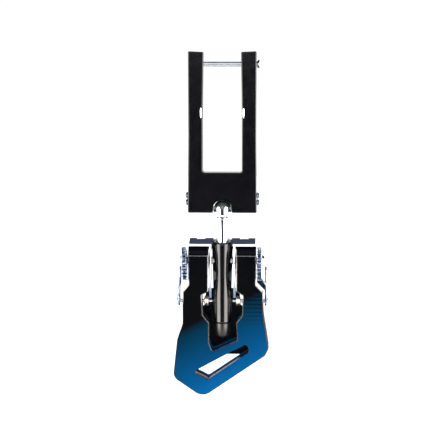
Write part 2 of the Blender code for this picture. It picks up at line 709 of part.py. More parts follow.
def outer_cam(side):
    """Front-facing cam with a tail outside the guard that a crossbar turns."""
    lobe, middle = cam_lobe(-1, span(side, OUTER_CAM_X))
    neck = [(24.35, AXLE_Z - 11.0), (27.65, AXLE_Z - 13.2), (31.35, AXLE_Z - 17.0),
            (31.35, AXLE_Z - 24.0), (29.95, AXLE_Z - 23.0), (29.95, AXLE_Z - 20.8), (24.35, AXLE_Z - 15.2)]
    web = span(side, (OUTER_CAM_X[0] + 0.1, OUTER_CAM_X[1] - 0.1))
    unite(lobe, box(web, (-3.4, 3.4), (AXLE_Z - 14.6, AXLE_Z - 1.5)))
    unite(lobe, plate("XZ", [(side * x, z) for x, z in neck], -3.2, 3.2))
    tail_x = span(side, TAIL_X)
    unite(lobe, box(tail_x, (-3.2, 3.4), (AXLE_Z - 28.0, AXLE_Z - 18.0)))
    unite(lobe, plate("YZ", spiral_track(3.5), *tail_x))
    cut(lobe, plate("YZ", spiral_track(CROSSBAR_RADIUS + GAP), tail_x[0] - 1, tail_x[1] + 1))
    cut(lobe, rod("X", AXLE_RADIUS + GAP, middle - 4, middle + 4, (0, AXLE_Z), sides=20))
    cut(lobe, rod("X", 2.8, middle - 1.9, middle + 1.9, (-12.4, AXLE_Z + 3.4), sides=14))
    return lobe


def torsion_spring(side):
    start, end = 18.6 * side, 21.6 * side
    legs = ((18.6 * side, 8.0, AXLE_Z - 1.5), (21.6 * side, -3.0, AXLE_Z - 9.0))
    return coil(3.5, 0.8, start, end, 3.5, legs)


# ---------------------------------------------------------------- trigger

def finger_wing(side):
    """Finger pad, rear flange and a rail whose foot hooks round the crossbar from behind."""
    depth = WING_HALF_DEPTH
    low, high = WING_BOTTOM, WING_BOTTOM + WING_THICKNESS
    section = [(-depth, low), (depth, low + WING_RAMP), (depth, high + WING_RAMP), (-depth, high)]
    pad = plate("YZ", section, *span(side, (WING_INNER, WING_OUTER)), 0.45)
    near = side * (WING_INNER - 1)
    corner = [(near, -9), (side * (WING_INNER + 2.2), -9), (near, -5.8)]
    cut(pad, plate("XY", corner, low - 3, high + 3))
    rail = box(span(side, RAIL_X), (-RAIL_HALF_DEPTH, RAIL_HALF_DEPTH), (CROSSBAR_Z - 3.4, low + 1.2))
    bevel(rail, 0.3)
    unite(pad, rail)
    unite(pad, box(span(side, (5.6, 12.0)), (6.0, depth - 0.1), (-130.2, low + 2.8)))
    cut(pad, rod("Z", SLEEVE_RADIUS + 0.35, low - 6, high + 4, sides=40))
    relief = span(side, (INNER_CAM_X[0] - 0.6, INNER_CAM_X[1] + 0.6))
    cut(pad, box(relief, (CAM_RELIEF_Y, depth + 1), (low - 1, high + 3)))
    slot = (arc((0, AXLE_Z + 0.3), AXLE_RADIUS + GAP + 0.1, 0, 180, 10)
            + arc((0, AXLE_Z - TRAVEL - 0.3), AXLE_RADIUS + GAP + 0.1, 180, 360, 10))
    cut(pad, plate("YZ", slot, *span(side, (7.0, 10.0))))
    cut(pad, rod("X", CROSSBAR_RADIUS + GAP, *span(side, (7.0, 10.0)), (0, CROSSBAR_Z), sides=20))
    foot, front = CROSSBAR_Z - 5, CROSSBAR_Z + 18.4
    front_taper = [(-5.0, front), (-RAIL_HALF_DEPTH, front), (HOOK_Y, CROSSBAR_Z + 2.9), (HOOK_Y, foot),
                   (-5.0, foot)]
    rear_taper = [(5.0, CROSSBAR_Z + 14), (2.9, CROSSBAR_Z + 2.0), (2.9, foot), (5.0, foot)]
    for taper in (front_taper, rear_taper):
        cut(pad, plate("YZ", taper, *span(side, (7.0, 10.0))))
    cut(pad, rod("Y", 1.15, 5.0, 9.0, (side * YOKE_SCREW_X, -127.6), sides=16))
    return pad


def rear_yoke():
    """Bar behind the sleeve that joins both wings, with an arm down to each inner cam."""
    bar = box((-ARM_X[1], ARM_X[1]), (8.3, 10.6), (-130.2, -123.4))
    bevel(bar, 0.5, 2)
    for side in (-1, 1):
        arm = [(9.0, -130.2), (9.0, -123.4), (12.0, -123.4), (14.3, -127.0), (14.6, AXLE_Z - 6.5),
               (13.4, AXLE_Z - 8.8), (10.6, AXLE_Z - 8.8), (9.4, AXLE_Z - 6.5)]
        unite(bar, plate("YZ", arm, *span(side, ARM_X)))
    for side in (-1, 1):
        hole = (YOKE_PIN_Y, AXLE_Z - TRAVEL / 2)
        cut(bar, rod("X", CROSSBAR_RADIUS + GAP, *span(side, (9.0, 13.0)), hole, sides=20))
        cut(bar, rod("Y", 1.15, 7.0, 12.0, (side * YOKE_SCREW_X, -127.6), sides=16))
    return bar


def yoke_pin(side):
    at = (YOKE_PIN_Y, AXLE_Z - TRAVEL / 2)
    pin = rod("X", CROSSBAR_RADIUS, *span(side, (9.4, 18.5)), at, sides=20)
    unite(pin, rod("X", 2.1, *span(side, (9.2, 10.0)), at, sides=24))
    return unite(pin, rod("X", 1.9, *span(side, (18.0, 18.7)), at, sides=24))


def crossbar(side):
    at = (0, CROSSBAR_Z)
    bar = rod("X", CROSSBAR_RADIUS, *span(side, (6.75, 31.9)), at, sides=20)
    bevel(bar, 0.3)
    return unite(bar, rod("X", 2.6, *span(side, (31.65, 32.5)), at, sides=24))


def pin_collar(side):
    """Stepped collar on a crossbar, just outside the rail."""
    at = (0, CROSSBAR_Z)
    collar = rod("X", 3.0, *span(side, (9.7, 12.9)), at, sides=20)
    unite(collar, rod("X", 3.75, *span(side, (10.0, 10.9)), at, sides=20))
    unite(collar, rod("X", 3.75, *span(side, (11.6, 12.5)), at, sides=20))
    return cut(collar, rod("X", CROSSBAR_RADIUS + GAP, *span(side, (9.0, 14.0)), at, sides=14))


# ---------------------------------------------------------------- assembly

clear_scene()
PLACES = {}
PARTS = collection("spring_loaded_camming_device")
TOOLS = collection("cutters")
SIDES = (("left", -1), ("right", 1))

BLACK = material("gloss_black_anodised", (0.012, 0.012, 0.014), 0.22, 0.6)
BLUE = material("blue_fade_anodised", (0.0, 0.11, 0.32), 0.35, 0.7)
CHROME = material("polished_steel", (0.80, 0.81, 0.83), 0.10, 1.0)
STEEL = material("brushed_steel", (0.50, 0.50, 0.51), 0.35, 1.0)
ALUMINIUM = material("satin_aluminium", (0.62, 0.63, 0.65), 0.30, 1.0)
BRONZE = material("nickel_bronze", (0.55, 0.42, 0.33), 0.30, 1.0)
SPRING = material("spring_steel", (0.30, 0.30, 0.32), 0.30, 1.0)

pin_axis = pivot("cross_pin_axis", (0, 0, 0))
tilt_axis = pivot("tilt_axis", (0, 0, BALL_Z))
swivel_axis = pivot("swivel_axis", (0, 0, STEM_TOP), tilt_axis)
trigger_axis = pivot("trigger_axis", (0, 0, WING_BOTTOM), swivel_axis)
cam_axis = pivot("cam_axis", (0, 0, AXLE_Z), swivel_axis)


def build_yoke():
    part(yoke_frame(), "yoke_frame", BLACK)
    part(swivel_block(), "swivel_block", CHROME)
    part(rod("X", 1.5, -10.4, 10.4, (0, BALL_Z), sides=20), "tilt_pin", STEEL)
    for name, side in SIDES:
        for row, z in enumerate(SCREW_ROWS, 1):
            part(button_screw(side, z), f"block_screw_{name}_{row}", STEEL)
    part(detent_ring(), "detent_ring", SPRING)
    part(cross_pin(), "cross_pin", CHROME, pin_axis)


def build_swivel():
    part(swivel_ball(), "swivel_ball", STEEL, tilt_axis)
    part(swivel_cup(), "swivel_cup", CHROME, tilt_axis)
    washer = ring("Z", 2.4, 5.1, CUP_BOTTOM - 0.8, CUP_BOTTOM - 0.3)
    part(washer, "swivel_washer", BRONZE, swivel_axis)
    part(stem_rod(), "stem_rod", CHROME, swivel_axis)


def build_body():
    part(stem_sleeve(), "stem_sleeve", BLACK, swivel_axis)
    part(end_collar(), "end_collar", BLACK, swivel_axis)
    grub = rod("Y", 1.0, 4.65, 6.6, (0, -129.6), sides=12)
    part(grub, "sleeve_grub_screw", STEEL, swivel_axis)
    part(rod("X", AXLE_RADIUS, -28.8, 28.8, (0, AXLE_Z), sides=20), "cam_axle", STEEL, swivel_axis)
    for name, side in SIDES:
        part(axle_nut(side), "axle_nut_" + name, CHROME, swivel_axis)
        washer = ring("X", AXLE_RADIUS + GAP, 3.8, *span(side, WASHER_X), (0, AXLE_Z), 20)
        part(washer, "axle_washer_" + name, BRONZE, swivel_axis)
    part(front_cheek(), "front_cheek", BLUE, swivel_axis)
    part(rear_cheek(), "rear_cheek", BLUE, swivel_axis)
    part(core_spacer(), "core_spacer", ALUMINIUM, swivel_axis)
    part(back_cover(), "back_cover", BLACK, swivel_axis)
    outside = REAR_Y + SHEET
    for number, (x, z) in enumerate(CHEEK_SCREWS, 1):
        screw = rear_screw(x, z, outside + GAP, FRONT_Y + 1.3)
        part(screw, f"cheek_screw_{number}", STEEL, swivel_axis)
    cover_y = outside + GAP + 1.2 + GAP
    for number, (x, z) in enumerate(COVER_SCREWS, 1):
        part(rear_screw(x, z, cover_y, FRONT_Y + 1.3), f"cover_screw_{number}", STEEL, swivel_axis)
    bolt = rear_screw(0, -187.0, cover_y, 0.9, 1.5, 2.6, 1.5)
    part(bolt, "collar_bolt", STEEL, swivel_axis)
    for name, side in SIDES:
        part(torsion_spring(side), "torsion_spring_" + name, SPRING, swivel_axis)


def build_cams():
    for name, side in SIDES:
        part(inner_cam(side), "inner_cam_" + name, ALUMINIUM, cam_axis)
        part(outer_cam(side), "outer_cam_" + name, ALUMINIUM, cam_axis)


def build_trigger():
    for name, side in SIDES:
        part(finger_wing(side), "finger_wing_" + name, CHROME, trigger_axis)
        part(crossbar(side), "crossbar_" + name, STEEL, trigger_axis)
        part(pin_collar(side), "pin_collar_" + name, BRONZE, trigger_axis)
        part(yoke_pin(side), "yoke_pin_" + name, STEEL, trigger_axis)
        screw = rear_screw(side * YOKE_SCREW_X, -127.6, 10.9, 6.4, 0.85, 1.6, 1.1)
        part(screw, "yoke_screw_" + name, STEEL, trigger_axis)
    part(rear_yoke(), "rear_yoke", STEEL, trigger_axis)


build_yoke()
build_swivel()
build_body()
build_cams()
build_trigger()
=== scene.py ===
"""Looks of the spring-loaded camming device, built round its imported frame.

Outlines and profiles are in millimetres in the frame's own axes: X to the right, -Y the
front, +Z up, with the origin at the centre of the cross pin. Places that a CAD node
already holds are read from it.
"""
import math

import bmesh
import bpy
import mathutils
from mathutils import Matrix, Vector


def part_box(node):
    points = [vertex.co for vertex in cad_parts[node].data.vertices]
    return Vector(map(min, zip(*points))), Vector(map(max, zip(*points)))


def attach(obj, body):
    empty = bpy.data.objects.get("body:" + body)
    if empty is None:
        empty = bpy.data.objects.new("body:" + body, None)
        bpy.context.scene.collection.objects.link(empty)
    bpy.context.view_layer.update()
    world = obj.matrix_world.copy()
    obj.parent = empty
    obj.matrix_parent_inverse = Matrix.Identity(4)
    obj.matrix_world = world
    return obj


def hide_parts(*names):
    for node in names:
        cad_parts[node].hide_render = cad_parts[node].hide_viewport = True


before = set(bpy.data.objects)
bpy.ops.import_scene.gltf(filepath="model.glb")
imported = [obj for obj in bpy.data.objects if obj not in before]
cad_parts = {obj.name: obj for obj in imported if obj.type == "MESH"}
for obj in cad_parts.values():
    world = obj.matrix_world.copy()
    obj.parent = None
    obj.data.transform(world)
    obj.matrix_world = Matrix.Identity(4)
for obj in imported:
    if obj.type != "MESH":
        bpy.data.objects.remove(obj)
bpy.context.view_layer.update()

MM = 0.001
ROUND_STEPS = 96
AXLE_BORE, BAR_BORE, SCREW_HOLE = 2.8, 1.55, 1.5
BOLT_HOLE, BOLT_Z = 1.8, -187.0


# ---------------- places from the frame

def node_box(name):
    """Lowest and highest corner of a CAD node, in millimetres."""
    low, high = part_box(name)
    return low / MM, high / MM


def node_middle(name):
    low, high = node_box(name)
    return (low + high) / 2


AXLE_Z = node_middle("cam_axle").z
BALL_Z = node_middle("tilt_pin").z
CROSSBAR_Z = node_middle("crossbar_left").z
SIDES = (("left", -1), ("right", 1))


# ---------------- mesh helpers

TO_AXIS = {
    "X": Matrix(((0, 0, 1, 0), (0, 1, 0, 0), (-1, 0, 0, 0), (0, 0, 0, 1))),
    "Y": Matrix(((1, 0, 0, 0), (0, 0, 1, 0), (0, -1, 0, 0), (0, 0, 0, 1))),
    "Z": Matrix.Identity(4),
}
TO_PLANE = {
    "XZ": Matrix.Rotation(math.radians(90), 4, "X"),
    "YZ": Matrix(((0, 0, 1, 0), (1, 0, 0, 0), (0, 1, 0, 0), (0, 0, 0, 1))),
    "XY": Matrix.Identity(4),
}


def link(data, name="piece"):
    item = bpy.data.objects.new(name, data)
    bpy.context.scene.collection.objects.link(item)
    return item


def from_bmesh(bm, name="piece"):
    mesh = bpy.data.meshes.new(name)
    bm.to_mesh(mesh)
    bm.free()
    return link(mesh)


def frozen(item):
    """The evaluated mesh of an object, as a new object in its place."""
    graph = bpy.context.evaluated_depsgraph_get()
    graph.update()
    mesh = bpy.data.meshes.new_from_object(item.evaluated_get(graph))
    mesh.transform(item.matrix_world)
    bpy.data.objects.remove(item)
    return link(mesh)


def combined(item, operation, others):
    for other in others:
        added = item.modifiers.new("join", "BOOLEAN")
        added.object = other
        added.operation = operation
        added.solver = "EXACT"
    result = frozen(item)
    for other in others:
        bpy.data.objects.remove(other)
    return result


def cut(item, *others):
    return combined(item, "DIFFERENCE", others)


def unite(item, *others):
    return combined(item, "UNION", others)


def edged(item, width, angle=35, segments=2):
    """Small rounded edges wherever two faces meet at more than an angle."""
    added = item.modifiers.new("edges", "BEVEL")
    added.width = width * MM
    added.segments = segments
    added.limit_method = "ANGLE"
    added.angle_limit = math.radians(angle)
    return frozen(item)


def box(x, y, z):
    bm = bmesh.new()
    bmesh.ops.create_cube(bm, size=1.0)
    size = Vector((x[1] - x[0], y[1] - y[0], z[1] - z[0])) * MM
    middle = Vector((x[0] + x[1], y[0] + y[1], z[0] + z[1])) * MM / 2
    bmesh.ops.scale(bm, vec=size, verts=bm.verts)
    bmesh.ops.translate(bm, vec=middle, verts=bm.verts)
    return from_bmesh(bm)


def turned(profile, axis="Z", at=(0.0, 0.0), steps=ROUND_STEPS):
    """A solid of revolution from (radius, distance along the axis) points."""
    bm = bmesh.new()
    rings = []
    for radius, along in profile:
        if radius <= 0:
            rings.append([bm.verts.new((0, 0, along * MM))])
            continue
        rings.append([bm.verts.new((radius * MM * math.cos(2 * math.pi * i / steps),
                                    radius * MM * math.sin(2 * math.pi * i / steps), along * MM))
                      for i in range(steps)])
    for upper, lower in zip(rings, rings[1:]):
        for i in range(steps):
            ahead = (i + 1) % steps
            corners = [upper[i % len(upper)], upper[ahead % len(upper)],
                       lower[ahead % len(lower)], lower[i % len(lower)]]
            unique = list(dict.fromkeys(corners))
            if len(unique) > 2:
                bm.faces.new(unique)
    bmesh.ops.recalc_face_normals(bm, faces=bm.faces)
    bm.transform(TO_AXIS[axis])
    shift = {"X": (0, *at), "Y": (at[0], 0, at[1]), "Z": (*at, 0)}[axis]
    bm.transform(Matrix.Translation(Vector(shift) * MM))
    return from_bmesh(bm)


def axle_hole(start, end):
    return rod("X", AXLE_BORE, start, end, (0, AXLE_Z))


def rod(axis, radius, start, end, at=(0.0, 0.0), edge=0.0, steps=48):
    """A cylinder with rounded ends along an axis."""
    if not edge:
        return turned([(0, end), (radius, end), (radius, start), (0, start)], axis, at, steps)
    top = arc((radius - edge, end - edge), edge, 90, 0, 3)
    low = [(r, start + end - z) for r, z in reversed(top)]
    return turned([(0, end)] + top + low + [(0, start)], axis, at, steps)


def arc(centre, radius, start, end, steps):
    return [(centre[0] + radius * math.cos(math.radians(start + (end - start) * i / steps)),
             centre[1] + radius * math.sin(math.radians(start + (end - start) * i / steps)))
            for i in range(steps + 1)]


def rounded(points, spacing=0.35):
    """Outline points (a, b, radius) with each corner replaced by a fine arc."""
    outline = []
    count = len(points)
    for index, (a, b, radius) in enumerate(points):
        here = Vector((a, b))
        before = Vector(points[index - 1][:2]) - here
        after = Vector(points[(index + 1) % count][:2]) - here
        if radius <= 0:
            outline.append(here)
            continue
        half = before.angle(after) / 2
        bisector = (before.normalized() + after.normalized()).normalized()
        centre = here + bisector * radius / math.sin(half)
        reach = radius / math.tan(half)
        start = here + before.normalized() * reach - centre
        end = here + after.normalized() * reach - centre
        sweep = start.angle_signed(end)
        steps = max(4, int(abs(sweep) * radius / spacing))
        for step in range(steps + 1):
            outline.append(centre + Matrix.Rotation(-sweep * step / steps, 2) @ start)
    return outline


def polyline(curve, places):
    spline = curve.splines.new("POLY")
    spline.points.add(len(places) - 1)
    for point, spot in zip(spline.points, places):
        point.co = (*(value * MM for value in spot), 1.0)
    return spline


def plate(plane, outline, start, end, edge=0.0, resolution=3):
    """A sheet with rounded edges: an outline in a plane, with its thickness from start to end."""
    curve = bpy.data.curves.new("outline", "CURVE")
    curve.dimensions = "2D"
    curve.fill_mode = "BOTH"
    curve.extrude = ((end - start) / 2 - edge) * MM
    curve.bevel_depth = edge * MM
    curve.bevel_resolution = resolution if edge else 0
    curve.offset = -edge * MM
    polyline(curve, [(*spot, 0.0) for spot in outline]).use_cyclic_u = True
    drawing = link(curve)
    mesh = bpy.data.meshes.new_from_object(drawing)
    bpy.data.objects.remove(drawing)
    bm = bmesh.new()
    bm.from_mesh(mesh)
    bmesh.ops.remove_doubles(bm, verts=bm.verts, dist=0.000001)
    bmesh.ops.recalc_face_normals(bm, faces=bm.faces)
    middle = (start + end) / 2 * MM
    shift = {"XZ": (0, middle, 0), "YZ": (middle, 0, 0), "XY": (0, 0, middle)}[plane]
    bm.transform(Matrix.Translation(shift) @ TO_PLANE[plane])
    return from_bmesh(bm)


def span(side, pair):
    return tuple(sorted((side * pair[0], side * pair[1])))


def refined(name, edge):
    """A copy of a CAD node with its flat faces made whole and its edges rounded."""
    bm = bmesh.new()
    bm.from_mesh(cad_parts[name].data)
    bmesh.ops.remove_doubles(bm, verts=bm.verts, dist=0.0000005)
    bmesh.ops.dissolve_limit(bm, angle_limit=math.radians(0.4), verts=bm.verts, edges=bm.edges)
    bmesh.ops.recalc_face_normals(bm, faces=bm.faces)
    return edged(from_bmesh(bm), edge)


def place(item, name, body, nodes, slot, *finishes):
    """Name a piece, give it its finish, and put it on its body in place of CAD nodes."""
    item.name = name
    item.data.name = name
    item.data.materials.clear()
    for finish in finishes:
        item.data.materials.append(finish)
    item.data.shade_smooth()
    item.data.set_sharp_from_angle(angle=math.radians(30))
    weighted = item.modifiers.new("flat_faces_stay_flat", "WEIGHTED_NORMAL")
    weighted.keep_sharp = True
    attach(item, body)
    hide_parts(*nodes)
    return item


# ---------------- materials

class Finish:
    """A Principled material with helpers for its node network."""

    def __init__(self, name, colour, roughness, metallic=0.0, specular=0.5):
        self.material = bpy.data.materials.new(name)
        self.material.use_nodes = True
        self.nodes = self.material.node_tree.nodes
        self.links = self.material.node_tree.links
        self.shader = self.nodes["Principled BSDF"]
        self.shader.inputs["Base Color"].default_value = (*colour, 1.0)
        self.shader.inputs["Roughness"].default_value = roughness
        self.shader.inputs["Metallic"].default_value = metallic
        self.shader.inputs["Specular IOR Level"].default_value = specular
        self.place = self.nodes.new("ShaderNodeTexCoord").outputs["Object"]

    def feed(self, socket, value):
        """Link another node's output to a socket, or set the socket to a constant."""
        if isinstance(value, bpy.types.NodeSocket):
            self.links.new(value, socket)
        else:
            socket.default_value = value

    def node(self, kind, **inputs):
        made = self.nodes.new(kind)
        for key, value in inputs.items():
            self.feed(made.inputs[key.replace("_", " ")], value)
        return made

    def math(self, operation, *values):
        made = self.nodes.new("ShaderNodeMath")
        made.operation = operation
        for socket, value in zip(made.inputs, values):
            self.feed(socket, value)
        return made.outputs[0]

    def times(self, first, second):
        return self.math("MULTIPLY", first, second)

    def stretched(self, scale):
        made = self.node("ShaderNodeMapping", Vector=self.place)
        made.inputs["Scale"].default_value = scale
        return made.outputs["Vector"]

    def noise(self, scale, detail=3.0, stretch=None):
        vector = self.stretched(stretch) if stretch else self.place
        made = self.node("ShaderNodeTexNoise", Vector=vector, Scale=scale, Detail=detail)
        return made.outputs["Fac"]

    def ramp(self, value, stops):
        made = self.node("ShaderNodeValToRGB", Fac=value)
        ramp = made.color_ramp
        while len(ramp.elements) < len(stops):
            ramp.elements.new(0.5)
        for element, (position, colour) in zip(ramp.elements, stops):
            element.position = position
            element.color = (*colour, 1.0)
        return made.outputs["Color"]

    def span(self, value, low, high, start=0.0, end=1.0):
        made = self.node("ShaderNodeMapRange", Value=value)
        for key, number in zip(("From Min", "From Max", "To Min", "To Max"), (low, high, start, end)):
            made.inputs[key].default_value = number
        return made.outputs["Result"]

    def mix(self, factor, first, second):
        made = self.nodes.new("ShaderNodeMix")
        made.data_type = "RGBA"
        for index, value in ((0, factor), (6, first), (7, second)):
            self.feed(made.inputs[index], value)
        return made.outputs[2]

    def colour(self, value):
        self.links.new(value, self.shader.inputs["Base Color"])

    def rough(self, value):
        self.links.new(value, self.shader.inputs["Roughness"])

    def bump(self, height, strength, distance):
        made = self.node("ShaderNodeBump", Height=height, Strength=strength, Distance=distance)
        self.links.new(made.outputs["Normal"], self.shader.inputs["Normal"])

    def axes(self):
        made = self.node("ShaderNodeSeparateXYZ", Vector=self.place)
        return made.outputs["X"], made.outputs["Y"], made.outputs["Z"]


# In metres: spacing of a cam's facing rings and of the painted reflected cross lines on the guard, and the
# depths of the guard's painted reflection fade.
RING_PITCH, REFLECTED_LINE_PITCH, REFLECTION_FADE = 0.0006, 0.00285, (0.159, 0.229)


def scuffs(finish, low, high):
    """Roughness that wanders between two values, with fine hairline rubs."""
    cloud = finish.noise(260.0, 4.0)
    hairs = finish.noise(900.0, 2.0, (6.0, 1.0, 0.25))
    both = finish.math("ADD", finish.times(cloud, 0.7), finish.times(hairs, 0.3))
    finish.rough(finish.span(both, 0.3, 0.7, low, high))


def coated(name, dark, light, tone, low, high):
    """Anodised or oxide coat: a tone that drifts a little, scuffs and a fine grain."""
    finish = Finish(name, light, high)
    finish.colour(finish.ramp(finish.noise(tone, 4.0), [(0.35, dark), (0.65, light)]))
    scuffs(finish, low, high)
    finish.bump(finish.noise(1800.0, 2.0), 0.05, 0.00003)
    return finish.material


def turning_marks(finish, low, high):
    """Faint marks along the turning, in the gloss and as a fine relief."""
    marks = finish.noise(700.0, 3.0, (1.0, 1.0, 9.0))
    finish.rough(finish.span(marks, 0.3, 0.7, low, high))
    finish.bump(marks, 0.06, 0.00002)


def polished(name, tint, low, high):
    finish = Finish(name, tint, low, 1.0)
    dull = tuple(value * 0.93 for value in tint)
    finish.colour(finish.ramp(finish.noise(220.0, 3.0), [(0.3, dull), (0.7, tint)]))
    turning_marks(finish, low, high)
    return finish.material


def satin_cam():
    """Machined aluminium cam: faint facing rings round the axle and blue-grey tone patches."""
    finish = Finish("satin_aluminium", (0.66, 0.68, 0.72), 0.28, 1.0)
    _, y, z = finish.axes()
    rise = finish.math("SUBTRACT", z, AXLE_Z * MM)
    reach = finish.math("SQRT", finish.math("ADD", finish.times(y, y), finish.times(rise, rise)))
    rings = finish.math("SINE", finish.times(reach, 2 * math.pi / RING_PITCH))
    patches = [(0.36, (0.045, 0.060, 0.110)), (0.44, (0.14, 0.20, 0.32)), (0.50, (0.54, 0.63, 0.76)),
               (0.56, (0.09, 0.13, 0.23)), (0.66, (0.42, 0.50, 0.63))]
    finish.colour(finish.ramp(finish.noise(300.0, 4.0), patches))
    finish.rough(finish.span(finish.noise(400.0, 3.0), 0.3, 0.7, 0.07, 0.16))
    relief = finish.math("ADD", finish.noise(420.0, 2.0), finish.times(rings, 0.01))
    finish.bump(relief, 0.3, 0.0004)
    return finish.material


def wing_steel_painted_reflection():
    """Polished steel with a painted dark reflection that turns it blue-grey towards the foot of each rail.
    """
    bright, dull = (0.88, 0.90, 0.93), (0.16, 0.21, 0.28)
    finish = Finish("wing_steel", bright, 0.05, 1.0)
    _, _, z = finish.axes()
    wander = finish.times(finish.math("SUBTRACT", finish.noise(160.0, 3.0), 0.5), 0.010)
    # Painted reflection: the colour darkens to blue-grey down the rail, standing for the dark card it would
    # reflect.
    down = finish.span(finish.math("ADD", z, wander), -0.142, -0.160)
    finish.colour(finish.mix(down, (*bright, 1.0), (*dull, 1.0)))
    turning_marks(finish, 0.035, 0.085)
    return finish.material


def painted_reflection_fade(finish):
    """Painted reflection on the guard's own blue: black to blue along a slanted line, with fine cross lines
    where the fade starts on the right; the black end and the lines stand for a reflection of a banded light.
    """
    x, _, z = finish.axes()
    slant = finish.times(finish.math("SUBTRACT", 0.024, x), 0.5)
    depth = finish.math("SUBTRACT", finish.times(z, -1.0), slant)
    wander = finish.times(finish.math("SUBTRACT", finish.noise(30.0, 2.0), 0.5), 0.004)
    depth = finish.math("ADD", depth, wander)
    along = finish.span(depth, *REFLECTION_FADE)
    # Painted reflection: the guard's own blue goes to black along the slant.
    base = finish.ramp(along, [(0.0, (0.0030, 0.0032, 0.0040)), (0.09, (0.0003, 0.0220, 0.0480)),
                               (0.27, (0.0000, 0.0380, 0.0960)), (0.62, (0.0000, 0.0730, 0.2100)),
                               (0.93, (0.0000, 0.1200, 0.3600)), (1.0, (0.0000, 0.1330, 0.4000))])
    # Painted reflection: fine dark cross lines of a banded light, where the fade starts on the right.
    waves = finish.math("SINE", finish.times(z, 2 * math.pi / REFLECTED_LINE_PITCH))
    lines = finish.span(waves, 0.1, 0.9)
    fades = finish.times(finish.span(x, 0.010, 0.018), finish.span(z, -0.184, -0.166))
    strength = finish.times(finish.times(lines, fades), 0.85)
    return finish.mix(strength, base, (0.0020, 0.0030, 0.0045, 1.0))


def blue_guard_painted_reflection():
    # The guard's own blue with its painted reflection fade.
    finish = Finish("blue_fade_anodised", (0.0, 0.1, 0.3), 0.18, 0.0, 0.06)
    finish.colour(painted_reflection_fade(finish))
    finish.rough(finish.span(finish.noise(350.0, 4.0), 0.3, 0.7, 0.14, 0.22))
    finish.bump(finish.noise(2600.0, 2.0), 0.04, 0.00001)
    return finish.material


def rim_painted_light_and_shade():
    """The bevelled rim with painted light: a painted highlight makes it bright by the uprights and the
    opening, and painted shade makes it dark on the left round the nose; on the right round the nose it is
    coppery.
    """
    finish = Finish("bevelled_rim", (0.5, 0.48, 0.46), 0.3, 1.0)
    x, _, z = finish.axes()
    tones = [(0.35, (0.09, 0.034, 0.015)), (0.65, (0.20, 0.075, 0.030))]
    copper = finish.ramp(finish.noise(90.0, 3.0), tones)
    # Painted highlight: the rim turns bright grey up by the uprights.
    low = finish.span(z, -0.160, -0.168)
    # Painted shade: the rim darkens towards the left round the nose.
    left_painted_shade = finish.span(x, 0.020, -0.004)
    outer = finish.mix(left_painted_shade, copper, (0.012, 0.012, 0.016, 1.0))
    off_middle = finish.math("ABSOLUTE", x)
    # Painted light: the rim is a lighter grey round the opening.
    inside = finish.times(finish.span(off_middle, 0.0165, 0.0155), finish.span(z, -0.2035, -0.2025))
    outer = finish.mix(inside, outer, (0.11, 0.105, 0.10, 1.0))
    slot_side = finish.times(finish.span(off_middle, 0.0215, 0.0205), finish.span(z, -0.2035, -0.2045))
    outer = finish.mix(slot_side, outer, copper)
    finish.colour(finish.mix(low, (0.56, 0.54, 0.53, 1.0), outer))
    finish.rough(finish.span(finish.noise(500.0, 3.0), 0.3, 0.7, 0.22, 0.38))
    finish.bump(finish.noise(1500.0, 2.0, (1.0, 1.0, 0.2)), 0.08, 0.00002)
    return finish.material


BLACK = coated("gloss_black_anodised", (0.0026, 0.0026, 0.0036), (0.0044, 0.0044, 0.0060), 140.0, 0.09, 0.19)
SATIN = coated("satin_black_anodised", (0.004, 0.004, 0.005), (0.008, 0.008, 0.009), 160.0, 0.26, 0.36)
# Grey steel: the ball's own colour, and painted shade on the cup's hollow and the back of its hood in place
# of chrome.
GREY_STEEL_AND_SHADE = coated("grey_steel_and_painted_shade", (0.036, 0.046, 0.044), (0.060, 0.072, 0.070), 500.0, 0.34, 0.46)
CHROME = polished("polished_steel", (0.88, 0.90, 0.93), 0.035, 0.085)
PIN = polished("pin_steel", (0.88, 0.90, 0.93), 0.11, 0.16)
STEM = polished("stem_steel", (0.90, 0.92, 0.95), 0.05, 0.09)
# Painted shade: a darkened copy of polished steel, put on the notch insert, the guard's core and the rails'
# inner faces where shade falls between parts.
PAINTED_SHADE_STEEL = polished("shaded_notch_steel", (0.040, 0.056, 0.062), 0.12, 0.22)
SCREW = polished("blued_screw_steel", (0.08, 0.10, 0.15), 0.10, 0.20)
STEEL = polished("brushed_steel", (0.52, 0.53, 0.55), 0.20, 0.34)
PALE = polished("blasted_aluminium", (0.80, 0.81, 0.83), 0.45, 0.60)
BRONZE = polished("nickel_bronze", (0.58, 0.54, 0.50), 0.26, 0.36)
SPRING = polished("spring_steel", (0.34, 0.35, 0.38), 0.16, 0.28)
CAM = satin_cam()
WING = wing_steel_painted_reflection()
BLUE = blue_guard_painted_reflection()
RIM = rim_painted_light_and_shade()


def hardware(item, name, body, node):
    """Place a plain steel fastener, pin or shaft."""
    place(item, name, body, [node], "brushed_steel", STEEL)


# ---------------- yoke

WINDOW, SEAT, WAIST, NOTCH_RADIUS = 13.6, -74.7, -35.0, 7.6
LENS_X, LENS_Z, LENS_HALF = WINDOW + 1.15, -33.3, (0.5, 0.3, 3.6)
PIN_BORE, GROOVE_RADIUS, GROOVE, SCREW_BORE = 2.0, 2.9, (-18.2, -16.8), 1.7


